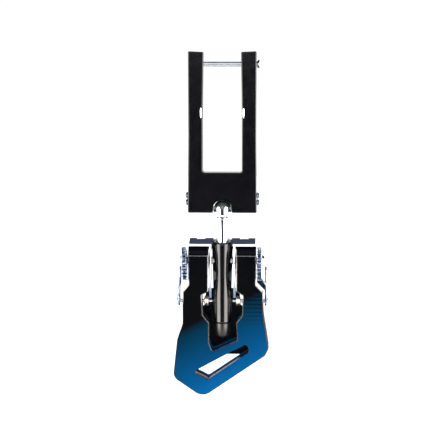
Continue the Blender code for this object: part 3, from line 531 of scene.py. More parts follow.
def build_yoke():
    low, high = node_box("yoke_frame")
    top_half, middle_half, low_half = 23.6, 23.5, high.x
    right = [(WINDOW, SEAT, 1.6), (WINDOW, WAIST, 0), (WINDOW - 0.7, high.z - 0.5, 1.0),
             (top_half, high.z, 1.0), (middle_half, -50.0, 0), (low_half, low.z, 1.0)]
    left = [(-a, b, radius) for a, b, radius in reversed(right)]
    body = plate("XZ", rounded(right + left), low.y, high.y, 0.75, 4)
    ends = [(side * NOTCH_RADIUS, low.z - 1) for side in (1, -1)]
    opening = ends[:1] + arc((0, BALL_Z), NOTCH_RADIUS, 0, 180, 60) + ends[1:]
    half = 11.3
    cutters = [plate("XZ", opening, -6.0, 6.0),
               box((-half, half), (-3.5, 3.5), (low.z - 1, node_box("swivel_block")[1].z + 0.3)),
               rod("X", PIN_BORE, -20.0, 26.0), rod("X", GROOVE_RADIUS, *GROOVE)]
    for side in (-1, 1):
        for row in (1, 2):
            z = node_middle(f"block_screw_left_{row}").z
            cutters.append(rod("X", SCREW_BORE, *span(side, (10.5, 25.0)), (0, z)))
    body = cut(body, *cutters)
    body = cut(body, *[dimple(side * LENS_X, low.y, LENS_Z) for side in (-1, 1)])
    place(body, "yoke_body", "yoke", ["yoke_frame"], "black_anodised", BLACK, CHROME)
    for face in body.data.polygons:
        centre = face.center / MM
        in_lens = abs(abs(centre.x) - LENS_X) < 0.7 and abs(centre.z - LENS_Z) < LENS_HALF[2]
        if in_lens and low.y + 0.02 < centre.y < low.y + 0.5:
            face.material_index = 1
    # Painted shade: the notch insert takes the darkened steel for the shade in the notch.
    place(refined("swivel_block", 0.15), "notch_insert", "yoke", ["swivel_block"], "polished_steel", PAINTED_SHADE_STEEL)
    shaft = rod("X", 1.5, -10.4, 10.4, (0, BALL_Z), 0.2)
    hardware(shaft, "tilt_shaft", "yoke", "tilt_pin")
    place(refined("detent_ring", 0.08), "pin_detent", "yoke", ["detent_ring"], "spring_steel", SPRING)
    for name, side in SIDES:
        for row in (1, 2):
            node = f"block_screw_{name}_{row}"
            screw = side_screw(node, side)
            place(screw, f"yoke_screw_{name}_{row}", "yoke", [node], "brushed_steel", SCREW)


def dimple(x, y, z):
    """Cutter for a shallow lens-shaped hollow in the face of an arm."""
    bm = bmesh.new()
    bmesh.ops.create_uvsphere(bm, u_segments=40, v_segments=24, radius=MM)
    bmesh.ops.scale(bm, vec=LENS_HALF, verts=bm.verts)
    bmesh.ops.translate(bm, vec=Vector((x, y, z)) * MM, verts=bm.verts)
    return from_bmesh(bm)


def dome(radius, start, rise, steps=7):
    """Profile of a domed screw head, from its top to its rim."""
    turns = [math.radians(90 * i / steps) for i in range(steps + 1)]
    return [(radius * math.sin(turn), start + rise * math.cos(turn)) for turn in turns]


def mirrored(profile, side):
    """A profile along +X turned to point the other way for the left side."""
    return profile if side > 0 else [(r, -z) for r, z in reversed(profile)]


def outward(low, high, side):
    """Start and end of a mirrored profile's span along X, measured away from the middle."""
    return (low.x, high.x) if side > 0 else (-high.x, -low.x)


def side_screw(node, side):
    low, high = node_box(node)
    tip, crown = outward(low, high, side)
    head = (high.z - low.z) / 2
    z = (low.z + high.z) / 2
    shank, rise = 1.4, 1.55
    profile = dome(head, crown - rise, rise) + [(head, crown - 1.7), (shank, crown - 1.7),
                                                (shank, tip + 0.3), (shank - 0.3, tip), (0, tip)]
    screw = turned(mirrored(profile, side), "X", (0, z))
    recess = [(0, crown + 1), (0.95, crown + 1), (0.95, crown - 0.75), (0, crown - 1.1)]
    return cut(screw, turned(mirrored(recess, side), "X", (0, z), 6))


def build_cross_pin():
    low, high = node_box("cross_pin")
    shaft, neck = 1.7, 23.95
    profile = [(0, high.x), (3.0, high.x), (3.25, high.x - 0.15), (3.2, high.x - 0.35), (2.2, neck),
               (shaft, neck)]
    profile += [(shaft, low.x + 0.6), (shaft - 0.25, low.x + 0.15), (shaft - 0.5, low.x), (0, low.x)]
    pin = turned(profile, "X")
    slot = box((high.x - 0.8, high.x + 1), (-0.5, 0.5), (-4, 4))
    place(cut(pin, slot), "cross_pin_body", "cross_pin", ["cross_pin"], "polished_steel", PIN)


# ---------------- swivel and stem

BALL_RADIUS, RIBS, RIB_DEPTH = 5.1, 28, 0.045
CUP_RIM, CUP_HOLLOW, HOOD_RADIUS, HOOD_FRONT = -98.4, 5.5, 6.1, 1.2
TILT_BORE, STEM_RADIUS = 1.8, 4.3


def ribbed_ball():
    """Ball with ribs from pole to pole, on the stud that holds the stem."""
    bm = bmesh.new()
    bmesh.ops.create_uvsphere(bm, u_segments=RIBS * 6, v_segments=48, radius=BALL_RADIUS * MM)
    for vert in bm.verts:
        angle = math.atan2(vert.co.y, vert.co.x)
        lift = 1.0 - RIB_DEPTH * (0.5 - 0.5 * math.cos(angle * RIBS))
        vert.co.x *= lift
        vert.co.y *= lift
    bmesh.ops.translate(bm, vec=(0, 0, BALL_Z * MM), verts=bm.verts)
    stud = turned([(0, -103.0), (2.0, -103.0), (2.0, -109.4), (2.8, -109.6), (2.9, -110.6), (2.5, -111.0),
                   (0, -111.0)], steps=48)
    return cut(unite(from_bmesh(bm), stud), rod("X", TILT_BORE, -6, 6, (0, BALL_Z)))


def ball_cup():
    """Cup with a slotted front between two lugs, and a hood over the back of the ball."""
    low, high = node_box("swivel_cup")
    outer, rim = high.x, CUP_RIM
    shell = [(0, rim), (outer - 0.35, rim), (outer - 0.1, rim - 0.3), (outer, rim - 0.9),
             (outer, -104.0), (outer - 0.12, -104.8), (outer - 0.4, -105.6), (5.45, low.z + 0.05),
             (5.4, low.z), (0, low.z)]
    cup = turned(shell)
    cutters = [box((-2.1, 2.1), (-8, 8), (-100.0, high.z + 9))]
    for side in (-1, 1):
        wedge = [(side * 2.4, rim + 0.2), (side * 9, rim + 0.2), (side * 9, -101.6), (side * 5.9, -101.6)]
        cutters.append(plate("XZ", wedge, -9, 9))
    cup = cut(cup, *cutters)
    hood = [(0, BALL_Z + HOOD_RADIUS)] + arc((0, BALL_Z), HOOD_RADIUS, 86, -10, 24) + [(0, BALL_Z - 1.1)]
    hood = cut(turned(hood), box((-9, 9), (-9, HOOD_FRONT), (BALL_Z - 9, BALL_Z + 9)))
    hollow = [(0, BALL_Z + CUP_HOLLOW)] + arc((0, BALL_Z), CUP_HOLLOW, 86, -86, 40)
    hollow.append((0, BALL_Z - CUP_HOLLOW))
    return cut(unite(cup, hood), turned(hollow), rod("Z", 2.3, low.z - 2, low.z + 3),
               rod("X", TILT_BORE, -8, 8, (0, BALL_Z)))


def build_swivel():
    place(ribbed_ball(), "ribbed_ball", "swivel", ["swivel_ball"], "brushed_steel", GREY_STEEL_AND_SHADE)
    cup = place(ball_cup(), "ball_cup", "swivel", ["swivel_cup"], "polished_steel", CHROME, GREY_STEEL_AND_SHADE)
    # Painted shade: the cup's hollow and the faces behind the hood's front take the dull grey instead of
    # chrome.
    for face in cup.data.polygons:
        reach = math.hypot(face.center.x, face.center.y, face.center.z - BALL_Z * MM)
        if reach < (CUP_HOLLOW + 0.1) * MM or face.center.y > (HOOD_FRONT - 0.1) * MM:
            face.material_index = 1


def build_stem():
    low, high = node_box("swivel_washer")
    washer = cut(rod("Z", high.x, low.z, high.z, (0, 0), 0.05), rod("Z", 2.4, low.z - 1, high.z + 1))
    place(washer, "bearing_washer", "stem", ["swivel_washer"], "nickel_bronze", STEM)

    low, high = node_box("stem_rod")
    profile = [(0, high.z), (5.4, high.z), (5.5, high.z - 0.1), (5.46, high.z - 0.3), (4.4, high.z - 7.9),
               (4.33, high.z - 8.6), (STEM_RADIUS, high.z - 9.6), (STEM_RADIUS, low.z + 0.4),
               (4.0, low.z), (0, low.z)]
    neck = [(0, high.z + 1), (2.3, high.z + 1), (2.3, -109.1), (3.25, -109.3), (3.25, -111.4), (0, -111.4)]
    tube = cut(turned(profile), turned(neck, steps=48))
    place(tube, "stem_tube", "stem", ["stem_rod"], "polished_steel", STEM)


# Radius of the sleeve, and height measured down from its top.
SLEEVE = [(5.3, 0.0), (5.9, -0.06), (6.4, -0.22), (6.75, -0.5), (7.0, -0.9), (7.17, -1.5), (7.26, -2.2),
          (7.3, -3.0), (7.28, -6.0), (7.2, -10.0), (7.08, -14.5), (6.92, -19.5), (6.75, -24.5), (6.6, -29.5),
          (6.48, -34.5), (6.4, -40.0), (6.35, -46.0), (6.32, -52.0), (6.3, -56.6), (6.15, -57.2),
          (5.9, -57.5)]


def scallop(side, steps=60):
    """Cutter for a shallow finger hollow that runs down one front quarter of the sleeve."""
    top, middle, bottom = -124.6, -148.0, -166.0
    hollow = []
    for step in range(steps + 1):
        z = top + (bottom - top) * step / steps
        curve = 0.0025 if z > middle else 0.0017
        hollow.append((5.9 + curve * (z - middle) ** 2, z))
    cutter = plate("YZ", hollow + [(12.0, bottom), (12.0, top)], -9.0, 9.0)
    cutter.data.transform(Matrix.Rotation(math.radians(180 + side * 53), 4, "Z"))
    return cutter


def build_sleeve():
    low, high = node_box("stem_sleeve")
    profile = [(0, high.z)] + [(r, high.z + z) for r, z in SLEEVE] + [(0, low.z)]
    cutters = [turned([(0, high.z + 1), (4.6, high.z + 1), (4.6, -133.8), (0, -133.8)]),
               axle_hole(-9, 9), rod("Z", 2.8, low.z - 1, -175.4),
               rod("Y", 1.3, 3.6, 9.0, (0, node_middle("sleeve_grub_screw").z)), scallop(-1), scallop(1)]
    place(cut(turned(profile), *cutters), "stem_grip", "stem", ["stem_sleeve"], "black_anodised", BLACK)

    low, high = node_box("end_collar")
    shoulder = -181.9
    profile = [(0, high.z), (2.5, high.z), (2.5, shoulder), (5.45, shoulder), (5.65, -182.0), (5.75, -182.3),
               (5.75, -184.0), (5.66, -185.6), (5.45, -187.4), (5.15, -189.0), (4.75, -190.6), (4.3, -191.6),
               (3.9, low.z + 0.2), (3.6, low.z), (0, low.z)]
    collar = cut(turned(profile), rod("Y", BOLT_HOLE, 0.5, 7.0, (0, BOLT_Z)))
    place(collar, "nose_collar", "stem", ["end_collar"], "black_anodised", SATIN)
    grub = node_box("sleeve_grub_screw")
    screw = cut(rod("Y", grub[1].x, grub[0].y, grub[1].y, (0, (grub[0].z + grub[1].z) / 2), 0.15),
                turned([(0, 8), (0.5, 8), (0.5, grub[1].y - 0.7), (0, grub[1].y - 0.7)], "Y",
                       (0, (grub[0].z + grub[1].z) / 2), 6))
    hardware(screw, "sleeve_lock_screw", "stem", "sleeve_grub_screw")


def build_axle():
    low, high = node_box("cam_axle")
    axle = rod("X", high.y, low.x, high.x, (0, AXLE_Z), 0.4)
    hardware(axle, "cam_shaft", "stem", "cam_axle")
    for name, side in SIDES:
        low, high = node_box("axle_nut_" + name)
        start, crown = outward(low, high, side)
        profile = [(0, crown), (2.5, crown), (2.85, crown - 0.1), (3.2, crown - 0.4), (3.95, start + 0.35),
                   (4.0, start + 0.15), (3.9, start), (0, start)]
        nut = turned(mirrored(profile, side), "X", (0, AXLE_Z))
        bore = axle_hole(*span(side, (start - 1, start + 1.1)))
        socket = [(0, crown + 1), (1.3, crown + 1), (1.3, crown - 0.5), (0, crown - 0.5)]
        nut = cut(nut, bore, turned(mirrored(socket, side), "X", (0, AXLE_Z), 6))
        place(nut, "axle_cap_" + name, "stem", ["axle_nut_" + name], "polished_steel", CHROME)
        low, high = node_box("axle_washer_" + name)
        washer = cut(rod("X", high.y, low.x, high.x, (0, AXLE_Z), 0.2), axle_hole(low.x - 1, high.x + 1))
        place(washer, "axle_spacer_" + name, "stem", ["axle_washer_" + name], "nickel_bronze", BRONZE)


# ---------------- nose guard

# Outline corners as (x, z, corner radius), in millimetres.
BODY = [(-28.0, -159.2, 2.5), (-28.0, -182.5, 12.0), (-32.0, -193.5, 8.0), (-34.95, -220.8, 6.5),
        (-14.0, -235.4, 9.0), (30.5, -204.7, 4.5), (33.2, -199.0, 4.0), (29.3, -174.5, 30.0),
        (29.0, -159.3, 2.5)]
OPENING = [(9.9, -181.0, 1.0), (14.1, -175.6, 1.0), (14.4, -161.4, 1.0), (9.7, -158.4, 1.0),
           (-9.7, -158.4, 1.0), (-14.4, -161.4, 1.0), (-13.6, -175.6, 1.0), (-9.3, -181.0, 1.0),
           (-9.3, -195.6, 3.0), (-7.0, -201.6, 1.5), (10.6, -193.4, 1.2)]
SLOT = [(-18.6, -215.5, 0.9), (-18.6, -217.5, 1.2), (-10.0, -221.9, 1.2), (19.2, -202.0, 2.6),
        (17.6, -196.2, 2.6), (7.0, -201.4, 4.0)]
UPRIGHT = (9.7, 23.95)
ROLL_Z, ROLL_RADIUS, ROLL_STEP, SHEET = -132.7, 6.4, 0.45, 2.2


def screw_places(prefix, count):
    places = [node_middle(f"{prefix}_{number}") for number in range(1, count + 1)]
    return [(place.x, place.z) for place in places]


def rim_faces(item, flat):
    """Give the bevelled edges of the front sheet and the slot's walls the second material, the rim with
    painted highlight and shade.
    """
    outline = [Vector(spot) for spot in rounded(SLOT)]
    for face in item.data.polygons:
        spot = Vector((face.center.x, face.center.z)) / MM
        if abs(face.normal.y) < 0.3 and closest(spot, outline) < 0.1:
            face.material_index = 1
        in_front = face.center.y < flat * MM and face.center.z < ROLL_Z * MM
        if -0.975 < face.normal.y < -0.22 and in_front:
            face.material_index = 1


def closest(spot, outline):
    """Distance from a point to the nearest side of a closed outline."""
    near = 1e9
    for start, end in zip(outline, outline[1:] + outline[:1]):
        foot, share = mathutils.geometry.intersect_point_line(spot, start, end)
        foot = start.lerp(end, min(max(share, 0.0), 1.0))
        near = min(near, (spot - foot).length)
    return near


def upright_roll(side, front):
    y = front + ROLL_STEP + ROLL_RADIUS
    outside = arc((y, ROLL_Z), ROLL_RADIUS, 180, 115, 24)
    inside = arc((y, ROLL_Z), ROLL_RADIUS - SHEET, 138, 180, 14)
    foot = [(y - ROLL_RADIUS + SHEET, ROLL_Z - 1.6), (y - ROLL_RADIUS, ROLL_Z - 1.6)]
    ends = span(side, (UPRIGHT[0] + 0.05, UPRIGHT[1] - 0.05))
    return plate("YZ", outside + inside + foot, *ends, 0.5)


def axle_ear(side, front, pair):
    y = front + ROLL_STEP + ROLL_RADIUS
    top = arc((y, ROLL_Z), ROLL_RADIUS - 1.1, 175, 20, 24)
    rest = arc((0, AXLE_Z), 5.2, 10, -70, 14)
    outline = top + rest + [(-1.0, AXLE_Z - 8.5), (front + 1.2, AXLE_Z - 11.0)]
    wall = plate("YZ", outline, *span(side, pair))
    middle = side * (pair[0] + pair[1]) / 2
    return cut(wall, axle_hole(middle - 2, middle + 2))


def slot_chamfer(item, front):
    """Chamfer the slot's front edge, found by where its corners lie."""
    outline = [Vector(place) for place in rounded(SLOT)]
    bm = bmesh.new()
    bm.from_mesh(item.data)

    def on_slot(vert):
        spot = Vector((vert.co.x, vert.co.z)) / MM
        return abs(vert.co.y / MM - front) < 0.001 and min((spot - place).length for place in outline) < 0.02

    edges = [edge for edge in bm.edges if on_slot(edge.verts[0]) and on_slot(edge.verts[1])
             and len(edge.link_faces) == 2 and edge.calc_face_angle() > 1.0]
    bmesh.ops.bevel(bm, geom=edges, offset=0.55 * MM, segments=1, affect="EDGES", clamp_overlap=False)
    bm.to_mesh(item.data)
    bm.free()
    return item


def screw_holes(places, start, end):
    return [rod("Y", SCREW_HOLE, start, end, at, steps=24) for at in places]


def front_sheet(front, holes):
    """Blue sheet with its two rolled uprights and the ears that carry the axle."""
    inner, outer = UPRIGHT
    right = [(inner, -158.4, 1.0), (inner, ROLL_Z, 0), (outer, ROLL_Z, 0), (outer, -154.0, 2.0),
             (29.0, -159.1, 2.0)]
    left = [(-28.0, -159.0, 2.0), (-outer, -154.0, 2.0), (-outer, ROLL_Z, 0), (-inner, ROLL_Z, 0),
            (-inner, -158.4, 1.0)]
    outline = rounded(right + BODY[7:0:-1] + left + OPENING[5:] + OPENING[:3])
    cheek = plate("XZ", outline, front, front + SHEET, 0.7, 0)
    slot = plate("XZ", rounded(SLOT), front - 1, front + SHEET + 1)
    parts = []
    for side in (-1, 1):
        parts += [upright_roll(side, front), axle_ear(side, front, (inner + 0.2, inner + 1.6)),
                  axle_ear(side, front, (outer - 1.6, outer - 0.2))]
    cheek = slot_chamfer(cut(cheek, slot), front)
    return cut(unite(cheek, *parts), *screw_holes(holes, front + 1.0, front + SHEET + 1))


def rear_sheet(holes):
    low, high = node_box("rear_cheek")
    top = high.z
    outline = [(9.7, top, 1.0), (29.0, top, 1.5)] + BODY[7:0:-1]
    outline += [(-28.0, top, 1.5), (-9.7, top, 1.0), (-14.4, -162.6, 1.0)] + OPENING[6:]
    outline += [OPENING[0], OPENING[1], (14.4, -162.6, 1.0)]
    cheek = plate("XZ", rounded(outline), low.y, high.y, 0.6)
    slot = plate("XZ", rounded(SLOT), low.y - 1, high.y + 1)
    return cut(cheek, slot, *screw_holes(holes, low.y - 1, high.y + 1))


def cover_plate(holes):
    low, high = node_box("back_cover")
    outline = [(-12.3, high.z, 1.5), (12.3, high.z, 1.5), (12.3, -170.0, 1.5), (21.5, -178.0, 2.0),
               (26.0, -190.0, 3.0), (22.5, low.z, 2.0), (-19.5, low.z, 3.0), (-21.0, -178.0, 2.0),
               (-12.3, -170.0, 1.5)]
    cover = plate("XZ", rounded(outline), low.y, high.y, 0.35)
    bolt = rod("Y", BOLT_HOLE, low.y - 1, high.y + 1, (0, BOLT_Z), steps=24)
    return cut(cover, *screw_holes(holes, low.y - 1, high.y + 1), bolt)


def build_guard():
    front = node_box("front_cheek")[0].y
    cover_holes = screw_places("cover_screw", 4)
    holes = screw_places("cheek_screw", 5) + cover_holes
    sheet = front_sheet(front, holes)
    # Both blue sheets carry the painted reflection fade.
    place(sheet, "guard_front", "stem", ["front_cheek"], "blue_fade_anodised", BLUE, RIM)
    rim_faces(sheet, front + 1.0)
    place(rear_sheet(holes), "guard_rear", "stem", ["rear_cheek"], "blue_fade_anodised", BLUE)
    # Painted shade: the core between the sheets takes the darkened steel for the shade inside the slot.
    place(refined("core_spacer", 0.1), "guard_core", "stem", ["core_spacer"], "satin_aluminium", PAINTED_SHADE_STEEL)
    place(cover_plate(cover_holes), "guard_cover", "stem", ["back_cover"], "black_anodised", BLACK)


# Head radius: height of the head and radius of the shank.
SCREW_SIZES = {2.6: (1.5, 1.5), 1.6: (1.1, 0.85)}


def rear_screw(node):
    """A button-head socket screw along Y, its head to the rear."""
    low, high = node_box(node)
    head = (high.x - low.x) / 2
    at = ((low.x + high.x) / 2, (low.z + high.z) / 2)
    rise, shank = SCREW_SIZES.get(round(head, 1), (1.4, 1.2))
    base = high.y - rise
    profile = dome(head, base + 0.25, rise - 0.25)
    profile += [(head, base), (shank, base), (shank, low.y + 0.2), (shank - 0.2, low.y), (0, low.y)]
    screw = turned(profile, "Y", at, 64)
    socket = [(0, high.y + 1), (head * 0.42, high.y + 1), (head * 0.42, high.y - rise * 0.55),
              (0, high.y - rise * 0.7)]
    return cut(screw, turned(socket, "Y", at, 6))


def build_screws():
    nodes = [f"cheek_screw_{n}" for n in range(1, 6)] + [f"cover_screw_{n}" for n in range(1, 5)]
    for node in nodes + ["collar_bolt"]:
        hardware(rear_screw(node), node + "_body", "stem", node)
    for name, _ in SIDES:
        node = "yoke_screw_" + name
        hardware(rear_screw(node), node + "_body", "trigger", node)


def build_springs():
    """Torsion springs: each a wire coil round the axle with two straight legs."""
    coil_radius, wire, turns, each = 3.5, 0.8, 3.5, 40
    for name, side in SIDES:
        start, end = 18.6 * side, 21.6 * side
        count = int(turns * each)
        places = [(start, 8.0, AXLE_Z - 1.5)]
        for step in range(count + 1):
            angle = 2 * math.pi * turns * step / count
            places.append((start + (end - start) * step / count, coil_radius * math.cos(angle),
                           AXLE_Z + coil_radius * math.sin(angle)))
        places.append((end, -3.0, AXLE_Z - 9.0))
        curve = bpy.data.curves.new("coil", "CURVE")
        curve.dimensions = "3D"
        curve.bevel_depth = wire / 2 * MM
        curve.bevel_resolution = 3
        curve.use_fill_caps = True
        polyline(curve, places)
        node = "torsion_spring_" + name
        place(frozen(link(curve)), "cam_spring_" + name, "stem", [node], "spring_steel", SPRING)


# ---------------- cams and trigger

CAM_TIP, CAM_HEEL, CAM_REACH, CAM_HUB, TEETH = 34.0, -70.0, 22.5, 4.2, 8
CAM_WEDGE, TOOTH, TRAVEL = 13.75, 1.0, 12.0
CAM_SWING = 2.0 * math.degrees(math.atan(0.5))
# Share of the pitch, and share of the tooth's depth below its crest.
TOOTH_SHAPE = [(0.0, 0.25), (0.06, 0.05), (0.25, 0.0), (0.46, 0.05), (0.55, 0.25), (0.64, 0.9),
               (0.72, 1.0), (0.80, 1.0), (0.90, 0.8)]


def cam_radius(angle):
    return CAM_REACH * math.exp(math.tan(math.radians(CAM_WEDGE)) * math.radians(angle - CAM_TIP))


def cam_lobe(facing, pair):
    """Toothed lobe with rounded edges; facing is +1 to the rear, -1 to the front."""
    places = []
    pitch = (CAM_TIP - CAM_HEEL) / TEETH
    for tooth in range(TEETH):
        start = CAM_TIP - pitch * tooth
        for share, sink in TOOTH_SHAPE:
            angle = start - pitch * share
            places.append((cam_radius(angle) - TOOTH * sink, angle))
    places.append((cam_radius(CAM_HEEL), CAM_HEEL))
    hub_start, hub_end, steps = CAM_HEEL - 42, CAM_TIP + 40 - 360, 24
    for step in range(steps + 1):
        places.append((CAM_HUB, hub_start + (hub_end - hub_start) * step / steps))
    outline = [(facing * r * math.cos(math.radians(a)), AXLE_Z + r * math.sin(math.radians(a)))
               for r, a in places]
    return plate("YZ", outline, *pair, 0.45)


def inner_cam(side):
    pair = span(side, (13.0, 17.6))
    low, high = pair[0] - 2, pair[1] + 2
    tilt = math.radians(-CAM_SWING / 2)
    half, hub = 1.7, Vector((0, AXLE_Z))
    along = Vector((math.cos(tilt), math.sin(tilt)))
    start, end = along * TRAVEL + hub, along * math.hypot(TRAVEL, TRAVEL / 2) + hub
    turn = math.degrees(tilt)
    slot = arc(start, half, turn + 90, turn + 270, 20) + arc(end, half, turn - 90, turn + 90, 20)
    return cut(cam_lobe(1, pair), axle_hole(low, high), plate("YZ", slot, low, high),
               rod("X", 2.6, low, high, (12.2, AXLE_Z + 5.6)))


def spiral_track(half, steps=40):
    """Path of a crossbar in the outer cam's frame as it rises while the cam turns."""
    centre = []
    for step in range(steps + 1):
        reach = AXLE_Z - CROSSBAR_Z - TRAVEL * step / steps
        angle = math.radians(-90 + CAM_SWING * step / steps)
        centre.append(Vector((reach * math.cos(angle), AXLE_Z + reach * math.sin(angle))))
    ways = [(centre[min(i + 1, steps)] - centre[max(i - 1, 0)]).normalized() for i in range(steps + 1)]
    across = [Vector((way.y, -way.x)) for way in ways]
    right = [spot + out * half for spot, out in zip(centre, across)]
    left = [spot - out * half for spot, out in zip(centre, across)]
    turns = [Matrix.Rotation(math.radians(angle), 2) for angle in range(15, 180, 15)]
    cap_end = [centre[-1] + turn @ (across[-1] * half) for turn in turns]
    cap_start = [centre[0] + turn @ (-across[0] * half) for turn in turns]
    return right + cap_end + left[::-1] + cap_start


def outer_cam(side):
    near, far = 24.35, 27.65
    tail = span(side, (29.95, 31.35))
    neck = [(near, AXLE_Z - 11.0), (far, AXLE_Z - 13.2), (31.35, AXLE_Z - 17.0), (31.35, AXLE_Z - 24.0),
            (29.95, AXLE_Z - 23.0), (29.95, AXLE_Z - 20.8), (near, AXLE_Z - 15.2)]
    web = edged(box(span(side, (near + 0.1, far - 0.1)), (-3.4, 3.4), (AXLE_Z - 14.6, AXLE_Z - 1.5)), 0.5)
    arm = plate("XZ", [(side * x, z) for x, z in neck], -3.2, 3.2, 0.5)
    foot = edged(box(tail, (-3.2, 3.4), (AXLE_Z - 28.0, AXLE_Z - 18.0)), 0.45, segments=3)
    track = plate("YZ", spiral_track(3.5), *tail, 0.45)
    lobe = unite(cam_lobe(-1, span(side, (near, far))), web, arm, foot, track)
    middle = side * (near + far) / 2
    return cut(lobe, plate("YZ", spiral_track(BAR_BORE), tail[0] - 1, tail[1] + 1),
               axle_hole(middle - 4, middle + 4),
               rod("X", 2.8, middle - 1.9, middle + 1.9, (-12.4, AXLE_Z + 3.4)))


def build_cams():
    for name, side in SIDES:
        node = "inner_cam_" + name
        place(inner_cam(side), node + "_lobe", node, [node], "satin_aluminium", CAM)
        node = "outer_cam_" + name
        place(outer_cam(side), node + "_lobe", node, [node], "satin_aluminium", CAM)


def wing_rail(side, top):
    """Rail beside the sleeve, with rounded edges, slotted for the axle and hooked at its foot."""
    near, far, half = 7.75, 9.3, 4.3
    middle, radius = (near + far) / 2, (far - near) / 2
    rounding = arc((side * middle, -half + radius), radius, 180, 360, 16)
    rounding += arc((side * middle, half - radius), radius, 0, 180, 16)
    rail = plate("XY", rounding, CROSSBAR_Z - 3.4, top)
    foot, start, hook = CROSSBAR_Z - 5, CROSSBAR_Z + 18.4, -0.2
    axle = arc((0, AXLE_Z + 0.3), 2.9, 0, 180, 20) + arc((0, AXLE_Z - TRAVEL - 0.3), 2.9, 180, 360, 20)
    front_taper = [(-5.0, start), (-half, start), (hook, CROSSBAR_Z + 2.9), (hook, foot), (-5.0, foot)]
    rear_taper = [(5.0, CROSSBAR_Z + 14), (2.9, CROSSBAR_Z + 2.0), (2.9, foot), (5.0, foot)]
    across = span(side, (7.0, 10.0))
    cutters = [plate("YZ", outline, *across) for outline in (axle, front_taper, rear_taper)]
    cutters.append(rod("X", BAR_BORE, *across, (0, CROSSBAR_Z)))
    return cut(rail, *cutters)


def finger_wing(side):
    """Finger pad with a leaning front edge, its rail and the rear flange."""
    low, high = node_box("finger_wing_left")
    depth, thickness, ramp = -low.y, 1.9, 1.8
    bottom = high.z - thickness - ramp
    section = [(-depth + 0.42, bottom), (depth, bottom + ramp), (depth, high.z),
               (-depth, bottom + thickness)]
    pad = edged(plate("YZ", section, *span(side, (6.5, 23.3))), 0.22, 40, 3)
    flange = edged(box(span(side, (5.6, 12.0)), (6.0, depth - 0.1), (-130.2, bottom + 2.8)), 0.2)
    pad = unite(pad, wing_rail(side, bottom + 1.2), flange)
    near = side * 5.5
    corner = plate("XY", [(near, -9), (side * 8.7, -9), (near, -5.8)], bottom - 3, high.z + 3)
    relief = box(span(side, (12.4, 18.2)), (4.9, depth + 1), (bottom - 1, high.z + 3))
    hole = rod("Y", 1.15, 5.0, 9.0, (side * 8.0, -127.6))
    return cut(pad, corner, rod("Z", 7.65, bottom - 6, high.z + 4, steps=ROUND_STEPS), relief, hole)


def build_trigger():
    for name, side in SIDES:
        node = "finger_wing_" + name
        wing = finger_wing(side)
        place(wing, "trigger_wing_" + name, "trigger", [node], "polished_steel", WING, PAINTED_SHADE_STEEL)
        # Painted shade: the rails' faces towards the sleeve take the darkened steel, for the shade between
        # rail and sleeve.
        for face in wing.data.polygons:
            if face.normal.x * side < -0.7 and abs(face.center.x) < 8.2 * MM:
                face.material_index = 1
        low, high = node_box("crossbar_" + name)
        tip, cap = outward(low, high, side)
        radius = 1.25
        profile = dome(2.6, cap - 0.5, 0.5)
        profile += [(2.6, cap - 0.75), (2.5, cap - 0.85), (radius, cap - 0.85)]
        profile += [(radius, tip + 1.0), (1.15, tip + 0.5), (0.8, tip + 0.15), (0, tip)]
        bar = turned(mirrored(profile, side), "X", (0, CROSSBAR_Z))
        place(bar, "drive_bar_" + name, "trigger", ["crossbar_" + name], "brushed_steel", PIN)
        place(stepped_collar(name, side), "bar_collar_" + name, "trigger", ["pin_collar_" + name],
              "nickel_bronze", BRONZE)
        node = "yoke_pin_" + name
        hardware(refined(node, 0.1), node + "_body", "trigger", node)
    place(refined("rear_yoke", 0.3), "rear_bridge", "trigger", ["rear_yoke"], "brushed_steel", PALE)


def stepped_collar(name, side):
    """Two thin flanges on a hub, each with a rounded rim."""
    low, high = node_box("pin_collar_" + name)
    inner, outer = outward(low, high, side)
    hub, flange = 3.0, high.y
    profile = [(0, outer), (hub - 0.2, outer), (hub, outer - 0.15), (hub, outer - 0.4)]
    for start in (outer - 0.4, outer - 2.0):
        profile += [(flange - 0.3, start), (flange - 0.1, start - 0.1), (flange, start - 0.35),
                    (flange, start - 0.55), (flange - 0.1, start - 0.8), (flange - 0.3, start - 0.9),
                    (hub, start - 0.9)]
    profile += [(hub, inner + 0.15), (hub - 0.2, inner), (0, inner)]
    collar = turned(mirrored(profile, side), "X", (0, CROSSBAR_Z))
    return cut(collar, rod("X", BAR_BORE, low.x - 1, high.x + 1, (0, CROSSBAR_Z)))


# ---------------- studio

def build_camera():
    data = bpy.data.cameras.new("camera")
    data.lens = 96
    data.sensor_width = 36
    data.clip_start = 0.01
    camera = link(data, "camera")
    distance, azimuth, elevation = 0.84, math.radians(1.9), math.radians(8.2)
    target = Vector((0.0011, 0.0, -0.1114))
    level = math.cos(elevation)
    away = Vector((math.sin(azimuth) * level, -math.cos(azimuth) * level, math.sin(elevation)))
    camera.location = target + away * distance
    camera.rotation_euler = away.to_track_quat("Z", "Y").to_euler()
    bpy.context.scene.camera = camera


def build_world():
    """White round the horizon and up the front, dim overhead and above the rear horizon."""
    world = bpy.data.worlds.new("studio")
    bpy.context.scene.world = world
    world.use_nodes = True
    nodes, links = world.node_tree.nodes, world.node_tree.links
    background = nodes["Background"]
    place_in = nodes.new("ShaderNodeTexCoord")
    ramp = nodes.new("ShaderNodeValToRGB")
    height = nodes.new("ShaderNodeVectorMath")
    height.operation = "DOT_PRODUCT"
    height.inputs[1].default_value = (0.0, 0.3, 1.0)
    links.new(place_in.outputs["Generated"], height.inputs[0])
    links.new(height.outputs["Value"], ramp.inputs["Fac"])
    links.new(ramp.outputs["Color"], background.inputs["Color"])
    stops = [(0.44, (1.0, 1.0, 1.0, 1.0)), (0.60, (0.05, 0.06, 0.10, 1.0))]
    for element, (position, colour) in zip(ramp.color_ramp.elements, stops):
        element.position = position
        element.color = colour
    background.inputs["Strength"].default_value = 1.04


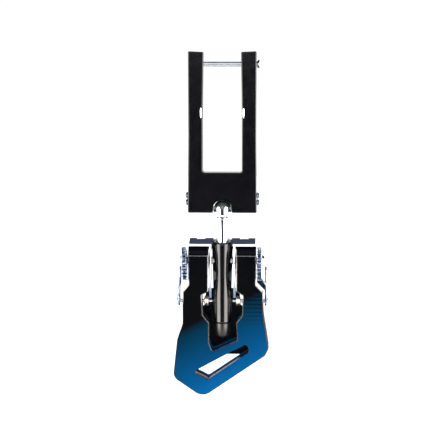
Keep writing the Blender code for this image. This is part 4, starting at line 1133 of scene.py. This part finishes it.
def area_light(name, where, aim, width, height, radiance, in_reflections=True):
    data = bpy.data.lights.new(name, "AREA")
    data.shape = "RECTANGLE"
    data.size = width
    data.size_y = height
    data.energy = radiance * math.pi * width * height
    light = link(data, name)
    light.location = where
    light.rotation_euler = (Vector(where) - Vector(aim)).to_track_quat("Z", "Y").to_euler()
    light.visible_glossy = in_reflections
    light.visible_camera = False
    return light


def plain(name, colour, roughness):
    """A quiet studio surface with a trace of tone."""
    finish = Finish(name, colour, roughness, 0.0, 0.2)
    near = tuple(value * 0.98 for value in colour)
    finish.colour(finish.ramp(finish.noise(3.0, 2.0), [(0.3, near), (0.7, colour)]))
    return finish.material


def dark_card(name, x, y, z):
    """A card that only shows in the reflections of the front faces."""
    card = box(x, y, z)
    card.name = name
    card.data.materials.append(plain(name, (0.03, 0.035, 0.045), 0.8))
    card.visible_camera = False
    card.visible_diffuse = False
    card.visible_shadow = False


def build_studio():
    middle = Vector((0, 0, -0.15))
    floor_z = -700
    floor = box((-6000, 6000), (-6000, 6000), (floor_z - 10, floor_z))
    floor.name = "floor"
    floor.data.materials.append(plain("pale_floor", (0.9, 0.9, 0.9), 0.9))
    for name, side in SIDES:
        angle = math.radians(47)
        where = middle + Vector((side * math.sin(angle), -math.cos(angle), 0.05)) * 1.0
        light = area_light("strip_" + name, where, middle, 0.72, 1.1, 9.0)
        light.data.color = (1.0, 0.93, 0.85)
        light.visible_diffuse = False
    area_light("top_line", (0, -0.2, 1.05), middle, 1.2, 0.10, 1.5)
    area_light("fill", (0, -1.6, 0.9), middle, 2.0, 1.0, 2.0, in_reflections=False)
    data = bpy.data.lights.new("down", "SUN")
    data.energy = 4.6
    data.angle = math.radians(20)
    down = link(data, "down")
    down.visible_glossy = False
    dark_card("dark_front", (-450, 450), (-1220, -1200), (floor_z + 1, 35))
    dark_card("dark_low", (-300, 300), (-380, 600), (floor_z + 1, floor_z + 5))


build_camera()
build_world()
build_studio()
build_yoke()
build_cross_pin()
build_swivel()
build_stem()
build_sleeve()
build_axle()
build_guard()
build_screws()
build_springs()
build_cams()
build_trigger()
bpy.context.scene.view_settings.view_transform = "Standard"
